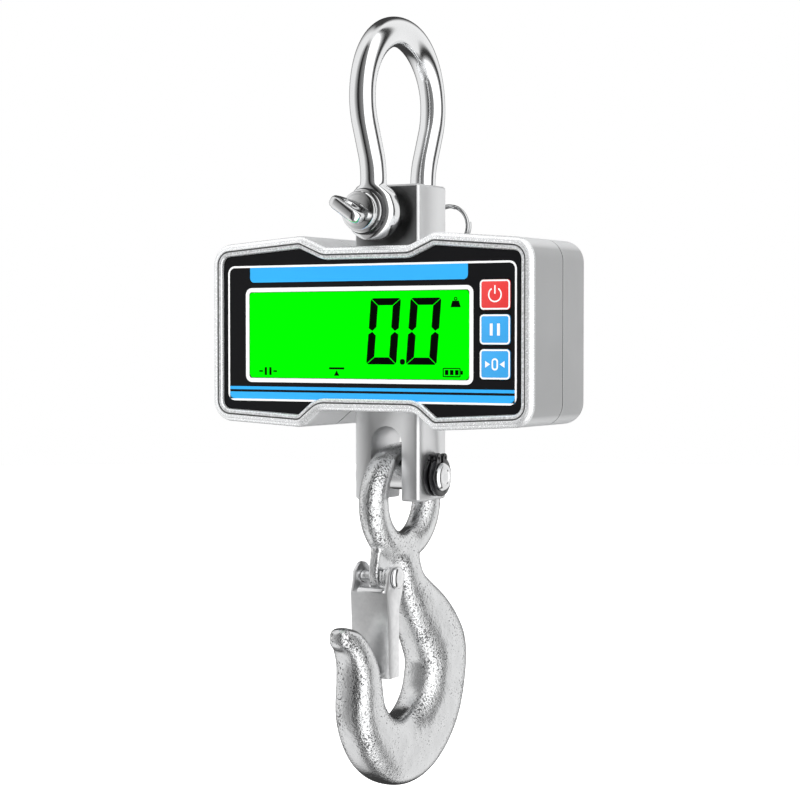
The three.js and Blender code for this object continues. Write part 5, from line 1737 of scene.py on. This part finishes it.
@dataclass
class Panel:
    """Printed film, lit display with its digits, and three keys.

    Heights are measured from the housing's middle.
    """

    line: float = 1.0 * MM
    ink: float = 0.06 * MM
    frame_x: float = 83.4 * MM
    frame_top: float = 34.3 * MM
    frame_low: float = -34.9 * MM
    banner: tuple[float, float, float, float] = (-69.7 * MM, 57.0 * MM, 25.7 * MM, 33.3 * MM)
    bezel: float = 2.4 * MM
    stripes: tuple[Flat, ...] = ((-29.1 * MM, -27.5 * MM), (-33.9 * MM, -30.3 * MM))
    digit: tuple[float, float, float] = (17.2 * MM, 32.8 * MM, 4.3 * MM)
    digit_low: float = -15.8 * MM
    digit_x: tuple[float, ...] = (-0.2 * MM, 22.5 * MM)
    slant: float = 0.084

    def front(self) -> float:
        """Returns the depth of the film's face."""
        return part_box("overlay_panel")[0].y

    def mark(self, outline: Sequence[Vector], level: float, hole: Sequence[Vector] = ()) -> Object:
        """Makes a printed mark of the ink's thickness on a face at a level.

        Args:
            outline: Its outline.
            level: Depth of the face it is printed on.
            hole: A hole's outline, with as many points, or nothing.

        Returns:
            The mark.
        """
        lifted = [Vector((p.x, p.y + MIDDLE_Z)) for p in outline]
        inner = [Vector((p.x, p.y + MIDDLE_Z)) for p in hole]
        return plate("mark", lifted, level - self.ink, level, inner)

    def ring(self, x0: float, x1: float, z0: float, z1: float, r: float, line: float, level: float) -> Object:
        """Returns a printed line round a rounded rectangle."""
        return self.mark(box_outline(x0, x1, z0, z1, r), level, box_outline(x0, x1, z0, z1, r, line))

    def bar(self, x0: float, x1: float, z0: float, z1: float, level: float, r: float = 0.2 * MM) -> Object:
        """Returns a printed bar."""
        return self.mark(box_outline(x0, x1, z0, z1, r), level)

    def film(self) -> None:
        """Builds the film and its white and blue print."""
        sheet = copied("overlay_panel", "film")
        dress(sheet, "scale", "overlay", FILM, "overlay_panel")
        y = self.front()
        low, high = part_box("display_window")
        across = (low.x - self.bezel, high.x + self.bezel)
        up = (low.z - MIDDLE_Z - self.bezel, high.z - MIDDLE_Z + self.bezel)
        white = [self.ring(-self.frame_x, self.frame_x, self.frame_low, self.frame_top, 4 * MM, self.line, y)]
        white.append(self.ring(*across, *up, 3.6 * MM, self.bezel - 0.3 * MM, y))
        dress(joined("white_print", white), "scale", "overlay", WHITE_INK)
        x0, x1, z0, z1 = self.banner
        tab = rounded([(x0, z0, 2.4 * MM), (x1, z0, 2.4 * MM), (x1, z1, 0.3 * MM), (x0, z1, 0.3 * MM)])
        blue = [self.mark(tab, y)]
        inner = self.frame_x - self.line
        blue += [self.bar(-inner, inner, a, b, y) for a, b in self.stripes]
        dress(joined("blue_print", blue), "scale", "overlay", BLUE_INK)

    def segments(self, x: float, level: float) -> list[Object]:
        """Makes the lit segments of one zero, with pointed ends and a slant.

        Args:
            x: Its left side.
            level: Depth of the face it is printed on.

        Returns:
            The segments' marks.
        """
        w, h, t = self.digit
        z0 = self.digit_low
        gap = 0.22 * MM
        lip = 0.25 * t  # how far the outer corners are cut back
        low = [
            (0, lip + gap), (0.3 * lip, 0.3 * lip + gap), (t, 0.9 * t), (t, h / 2 - gap - 0.42 * t),
            (0.5 * t, h / 2 - gap), (0, h / 2 - gap - 0.3 * t),
        ]
        flat = [
            (lip + gap, 0), (w - lip - gap, 0), (w - 0.3 * lip - gap, 0.3 * lip), (w - t - gap, 0.82 * t),
            (t + gap, 0.82 * t), (0.3 * lip + gap, 0.3 * lip),
        ]
        shapes = [low, [(w - px, pz) for px, pz in low], flat]
        shapes += [[(px, h - pz) for px, pz in shape] for shape in shapes]
        marks = []
        for shape in shapes:
            outline = [Vector((x + px + pz * self.slant, z0 + pz)) for px, pz in shape]
            marks.append(self.mark(outline, level))
        return marks

    def display(self) -> None:
        """Builds the lit display and everything that it shows."""
        low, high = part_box("display_window")
        centre = (low + high) / 2
        lit = Lit(
            "lit_display", (0.0, 0.1, 0.0), 0.22, 0.0, 0.4 * MM, 0.001 * MM, tint=0.02, gloss=0.02,
            light=1.0, half=((high.x - low.x) / 2, (high.z - low.z) / 2), centre=tuple(centre),
        )
        pane = box_outline(low.x, high.x, low.z, high.z, 1.2 * MM)
        dress(plate("lit_pane", pane, low.y, high.y), "scale", "window", lit, "display_window")
        y = low.y
        marks = [m for x in self.digit_x for m in self.segments(x, y)]
        dot = self.digit_x[1] - 3.4 * MM
        marks.append(self.bar(dot, dot + 2.9 * MM, self.digit_low, self.digit_low + 2.8 * MM, y, 1.2 * MM))
        marks += self.weight_sign(47.5 * MM, 12.2 * MM, y)
        marks += self.steady_sign(-22 * MM, -21.6 * MM, y)
        marks += self.hold_sign(-65 * MM, -21.6 * MM, y)
        marks += self.charge_sign(43.2 * MM, -21.7 * MM, y)
        dress(joined("display_marks", marks), "scale", "window", SEGMENT_INK)

    def weight_sign(self, x: float, z: float, y: float) -> list[Object]:
        """Makes a weight with its ring.

        Args:
            x: Its left side.
            z: Its foot, from the housing's middle.
            y: Depth of the face it is printed on.

        Returns:
            The sign's marks.
        """
        corners = [(0, 0), (5.6, 0), (4.6, 3.2), (1, 3.2)]
        foot = [Vector((x + u * MM, z + v * MM)) for u, v in corners]
        top = self.ring(x + 1.9 * MM, x + 3.7 * MM, z + 3.3 * MM, z + 5 * MM, 0.8 * MM, 0.45 * MM, y)
        return [self.mark(foot, y), top]

    def steady_sign(self, x: float, z: float, y: float) -> list[Object]:
        """Makes a steady sign: a bar balanced on a point.

        Args:
            x: Its left side.
            z: Its foot, from the housing's middle.
            y: Depth of the face it is printed on.

        Returns:
            The sign's marks.
        """
        level = self.bar(x, x + 9 * MM, z + 3.2 * MM, z + 4.2 * MM, y)
        point = [Vector((x + 2.9 * MM, z)), Vector((x + 6.1 * MM, z)), Vector((x + 4.5 * MM, z + 2.7 * MM))]
        return [level, self.mark(point, y)]

    def hold_sign(self, x: float, z: float, y: float) -> list[Object]:
        """Makes a hold sign: two uprights between two lines.

        Args:
            x: Its left side.
            z: Its foot, from the housing's middle.
            y: Depth of the face it is printed on.

        Returns:
            The sign's marks.
        """
        ups = [self.bar(x + k * MM, x + (k + 1.3) * MM, z, z + 4 * MM, y) for k in (4.2, 7.0)]
        ends = [self.bar(x + k * MM, x + (k + 2.2) * MM, z + 1.6 * MM, z + 2.4 * MM, y) for k in (0.8, 9.5)]
        return ups + ends

    def charge_sign(self, x: float, z: float, y: float) -> list[Object]:
        """Makes a cell with three bars.

        Args:
            x: Its left side.
            z: Its foot, from the housing's middle.
            y: Depth of the face it is printed on.

        Returns:
            The sign's marks.
        """
        case = self.ring(x, x + 9.8 * MM, z, z + 4.5 * MM, 0.5 * MM, 0.5 * MM, y)
        nub = self.bar(x + 9.9 * MM, x + 11.1 * MM, z + 1.3 * MM, z + 3.2 * MM, y)
        starts = [x + k * MM for k in (1.2, 4.0, 6.8)]
        inside = [self.bar(a, a + 1.9 * MM, z + 1 * MM, z + 3.5 * MM, y) for a in starts]
        return [case, nub, *inside]

    def keys(self) -> None:
        """Builds the three keys with their white borders and signs."""
        signs: dict[str, Callable[[Vector, float], list[Object]]] = {
            "power": self.power_sign,
            "hold": self.bars_sign,
            "tare": self.zero_sign,
        }
        for name, sign in signs.items():
            low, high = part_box(f"key_{name}")
            levels = [(0.35, 0.0), (0.1, 0.1), (0.0, 0.35), (0.0, None)]
            loops = []
            for inset, depth in levels:
                y = high.y if depth is None else low.y + depth * MM
                outline = box_outline(low.x, high.x, low.z, high.z, 2 * MM, inset * MM)
                loops.append([Vector((p.x, y, p.y)) for p in outline])
            slot, finish = ("red_key", RED_KEY) if name == "power" else ("blue_key", BLUE_KEY)
            cap = through_loops(f"{name}_cap", loops)
            dress(cap, f"key_{name}", slot, finish, f"key_{name}")
            z0, z1 = low.z - MIDDLE_Z, high.z - MIDDLE_Z
            e = 0.1 * MM
            rim = self.ring(low.x + e, high.x - e, z0 + e, z1 - e, 1.9 * MM, 0.8 * MM, low.y)
            centre = Vector(((low.x + high.x) / 2, (z0 + z1) / 2))
            whole = joined(f"{name}_print", [rim, *sign(centre, low.y)])
            dress(whole, f"key_{name}", slot, WHITE_INK)

    def arc(self, centre: Vector, r: float, line: float, start: float, stop: float, level: float) -> Object:
        """Makes a printed arc between two angles in degrees.

        Args:
            centre: Its middle.
            r: Outer radius.
            line: Width of the line.
            start: First angle.
            stop: Last angle.
            level: Depth of the face it is printed on.

        Returns:
            The mark.
        """
        steps = 40
        turn = [math.radians(start + (stop - start) * k / steps) for k in range(steps + 1)]
        outer = [centre + Vector((math.cos(a), math.sin(a))) * r for a in turn]
        inner = [centre + Vector((math.cos(a), math.sin(a))) * (r - line) for a in reversed(turn)]
        return self.mark(outer + inner, level)

    def power_sign(self, centre: Vector, y: float) -> list[Object]:
        """Makes the usual power sign: an open ring and an upright.

        Args:
            centre: Its middle.
            y: Depth of the face it is printed on.

        Returns:
            The sign's marks.
        """
        ring = self.arc(centre, 3.7 * MM, 0.7 * MM, 122, 418, y)
        x, z = centre
        return [ring, self.bar(x - 0.35 * MM, x + 0.35 * MM, z + 0.4 * MM, z + 4.5 * MM, y)]

    def bars_sign(self, centre: Vector, y: float) -> list[Object]:
        """Returns two uprights."""
        x, z = centre
        return [self.bar(x + k * MM, x + (k + 1.5) * MM, z - 2.9 * MM, z + 2.9 * MM, y) for k in (-2.7, 1.2)]

    def zero_sign(self, centre: Vector, y: float) -> list[Object]:
        """Makes a zero between two pointers.

        Args:
            centre: Its middle.
            y: Depth of the face it is printed on.

        Returns:
            The sign's marks.
        """
        x, z = centre
        marks = [self.ring(x - 1.7 * MM, x + 1.7 * MM, z - 2.9 * MM, z + 2.9 * MM, 1.6 * MM, 0.8 * MM, y)]
        for side in (-1, 1):
            tip, tail = x + side * 2.6 * MM, x + side * 5.2 * MM
            pointer = [(tip, z), (tail, z + 1.6 * MM), (tail, z - 1.6 * MM)]
            marks.append(self.mark([Vector(p) for p in pointer], y))
        return marks

    def build(self) -> None:
        """Builds the panel."""
        self.film()
        self.display()
        self.keys()


# ---- Pieces kept from the frame -----------------------------------------------------------------


def dress_inside() -> None:
    """Gives every CAD node that still shows its finish."""
    finishes = {
        "stainless": TURNED,
        "black_steel": BLACK_STEEL,
        "block_steel": GROUND,
        "zinc": ZINC,
        "zinc_sheet": ZINC_SHEET,
        "brass": BRASS,
        "alloy": MILLED,
        "rubber": RUBBER,
        "overlay": FILM,
        "window": GLASS,
        "board": MASK,
        "white_plastic": WHITE_PLASTIC,
        "black_plastic": BLACK_PLASTIC,
        "red_key": RED_KEY,
        "blue_key": BLUE_KEY,
        "battery_wrap": WRAP,
    }
    for part in frame["record"]["subparts"]:
        thing = frame["nodes"][part["node"]]
        material = finishes[part["material_slot"]].make()
        for slot in thing.material_slots:
            slot.material = material


# ---- Studio -------------------------------------------------------------------------------------


@dataclass
class Studio:
    """Pale floor, soft light from a white room with a darker front, and the camera."""

    place: tuple[float, float, float] = (0.5078, -0.8782, -0.1475)
    tilt: float = 88.2
    azimuth: float = 30.0
    lens: float = 89.325
    floor: float = 12.0
    drop: float = 0.6
    # Angle in degrees round from the camera's side, and the light there.
    cards: tuple[Flat, ...] = (
        (-180, 0.05), (-163, 0.06), (-150, 0.55), (-132, 0.95), (-78, 0.95), (-68, 0.58),
        (-58, 0.36), (-50, 0.25), (-42, 0.015), (-33, 0.015), (-24, 0.13), (-4, 0.27),
        (6, 0.2), (14, 1.8), (72, 1.8), (84, 0.5), (93, 0.03), (103, 0.05),
        (112, 0.95), (144, 1.0), (151, 0.55), (163, 0.06), (180, 0.05),
    )
    # The ray's rise at which each card begins and is whole, and its light.
    ceiling: Place = (0.93, 0.995, 0.9)
    underside: Place = (-0.86, -0.97, 0.25)

    def camera(self) -> None:
        """Makes the camera and gives it to the scene."""
        data = bpy.data.cameras.new("camera")
        data.lens = self.lens
        data.sensor_width = 36.0
        data.clip_start = 0.01
        data.clip_end = 60.0
        thing = bpy.data.objects.new("camera", data)
        thing.location = self.place
        thing.rotation_euler = (math.radians(self.tilt), 0.0, math.radians(self.azimuth))
        bpy.context.collection.objects.link(thing)
        bpy.context.scene.camera = thing

    def ground(self) -> None:
        """Makes the floor, far enough below to stay out of the reflections."""
        z = CAD_BOX[0].z - self.drop
        ring = [Vector((math.cos(a), math.sin(a), 0)) for a in (2 * math.pi * k / 96 for k in range(96))]
        points = [p * self.floor + Vector((0, 0, z)) for p in ring]
        floor = solid("floor", points, [tuple(range(96))])
        finish = Floor("floor", (0.93, 0.93, 0.93), 0.7, 0.0, 4 * MM, 0.01 * MM, 400 * MM, 0.01, 0.02)
        floor.data.materials.append(finish.make())
        floor.visible_glossy = False

    def light(self, name: str, at: Sequence[float], size: Flat, power: float) -> None:
        """Makes a soft rectangular light that looks at the housing's middle.

        Args:
            name: Its name.
            at: Its place.
            size: Its two sides.
            power: Its power in watts.
        """
        data = bpy.data.lights.new(name, "AREA")
        data.shape = "RECTANGLE"
        data.size, data.size_y = size
        data.energy = power
        thing = bpy.data.objects.new(name, data)
        thing.location = at
        aim = Vector((0, 0, MIDDLE_Z - 30 * MM)) - Vector(at)
        thing.rotation_euler = aim.to_track_quat("-Z", "Y").to_euler()
        thing.visible_glossy = False
        bpy.context.collection.objects.link(thing)

    @staticmethod
    def ramp(build: Tree, share: Any, stops: Sequence[Flat]) -> Any:
        """Works out the light round the scale, from stops of angle in degrees and light.

        Args:
            build: The node tree being filled.
            share: Position round the scale, from 0 to 1.
            stops: Angles in degrees and their light.

        Returns:
            The colour's socket.
        """
        node = build.add("ShaderNodeValToRGB", {0: share})
        marks = node.color_ramp.elements
        marks.remove(marks[-1])
        marks[0].position = 0.0
        marks[0].color = (stops[0][1],) * 3 + (1.0,)
        for angle, light in stops[1:]:
            marks.new((angle + 180) / 360).color = (light,) * 3 + (1.0,)
        return node.outputs[0]

    def room(self) -> None:
        """Makes the world: white to the eye, and cards of light and dark round the scale for the metal."""
        world = bpy.data.worlds.new("studio")
        bpy.context.scene.world = world
        world.use_nodes = True
        world.node_tree.nodes.clear()
        build = Tree(world.node_tree)
        ray = build.add("ShaderNodeTexCoord").outputs["Generated"]
        turn = math.radians(self.azimuth)
        facing = (math.sin(turn), -math.cos(turn), 0.0)
        right = (math.cos(turn), math.sin(turn), 0.0)
        near, side = (
            build.add("ShaderNodeVectorMath", {0: ray, 1: way}, operation="DOT_PRODUCT").outputs["Value"]
            for way in (facing, right)
        )
        up = build.add("ShaderNodeSeparateXYZ", {0: ray}).outputs[2]
        share = build.span(build.math("ARCTAN2", side, near), -math.pi, math.pi)
        tone = self.ramp(build, share, self.cards)
        for start, whole, light in (self.ceiling, self.underside):
            tone = build.mix(build.span(up, start, whole), tone, (light, light, light, 1.0))
        seen = build.add("ShaderNodeLightPath").outputs["Is Camera Ray"]
        tone = build.mix(seen, tone, (1.0, 1.0, 1.0, 1.0))
        shown = build.add("ShaderNodeBackground", {0: tone})
        build.add("ShaderNodeOutputWorld", {0: shown.outputs[0]})

    def build(self) -> None:
        """Builds the studio."""
        self.camera()
        self.ground()
        self.light("top_softbox", (-0.1, 0.1, 1.3), (1.4, 1.4), 14.0)
        self.light("low_fill", (-0.1, 0.1, -1.3), (1.0, 1.0), 12.0)
        self.light("front_fill", (-0.75, -1.4, 0.75), (0.8, 0.8), 15.0)
        self.room()
        view = bpy.context.scene.view_settings
        view.view_transform = "Standard"
        view.look = "None"


# ---- The scene ----------------------------------------------------------------------------------


def main() -> None:
    """Builds the studio and the scale."""
    logging.basicConfig(level=logging.INFO, format="%(name)s %(message)s")
    Studio().build()
    dress_inside()
    for part in (Shackle(), LoadCell(), Hook(), Housing(), Fixings(), Panel()):
        part.build()
        LOG.info("built %s", type(part).__name__)


if __name__ == "__main__":
    main()
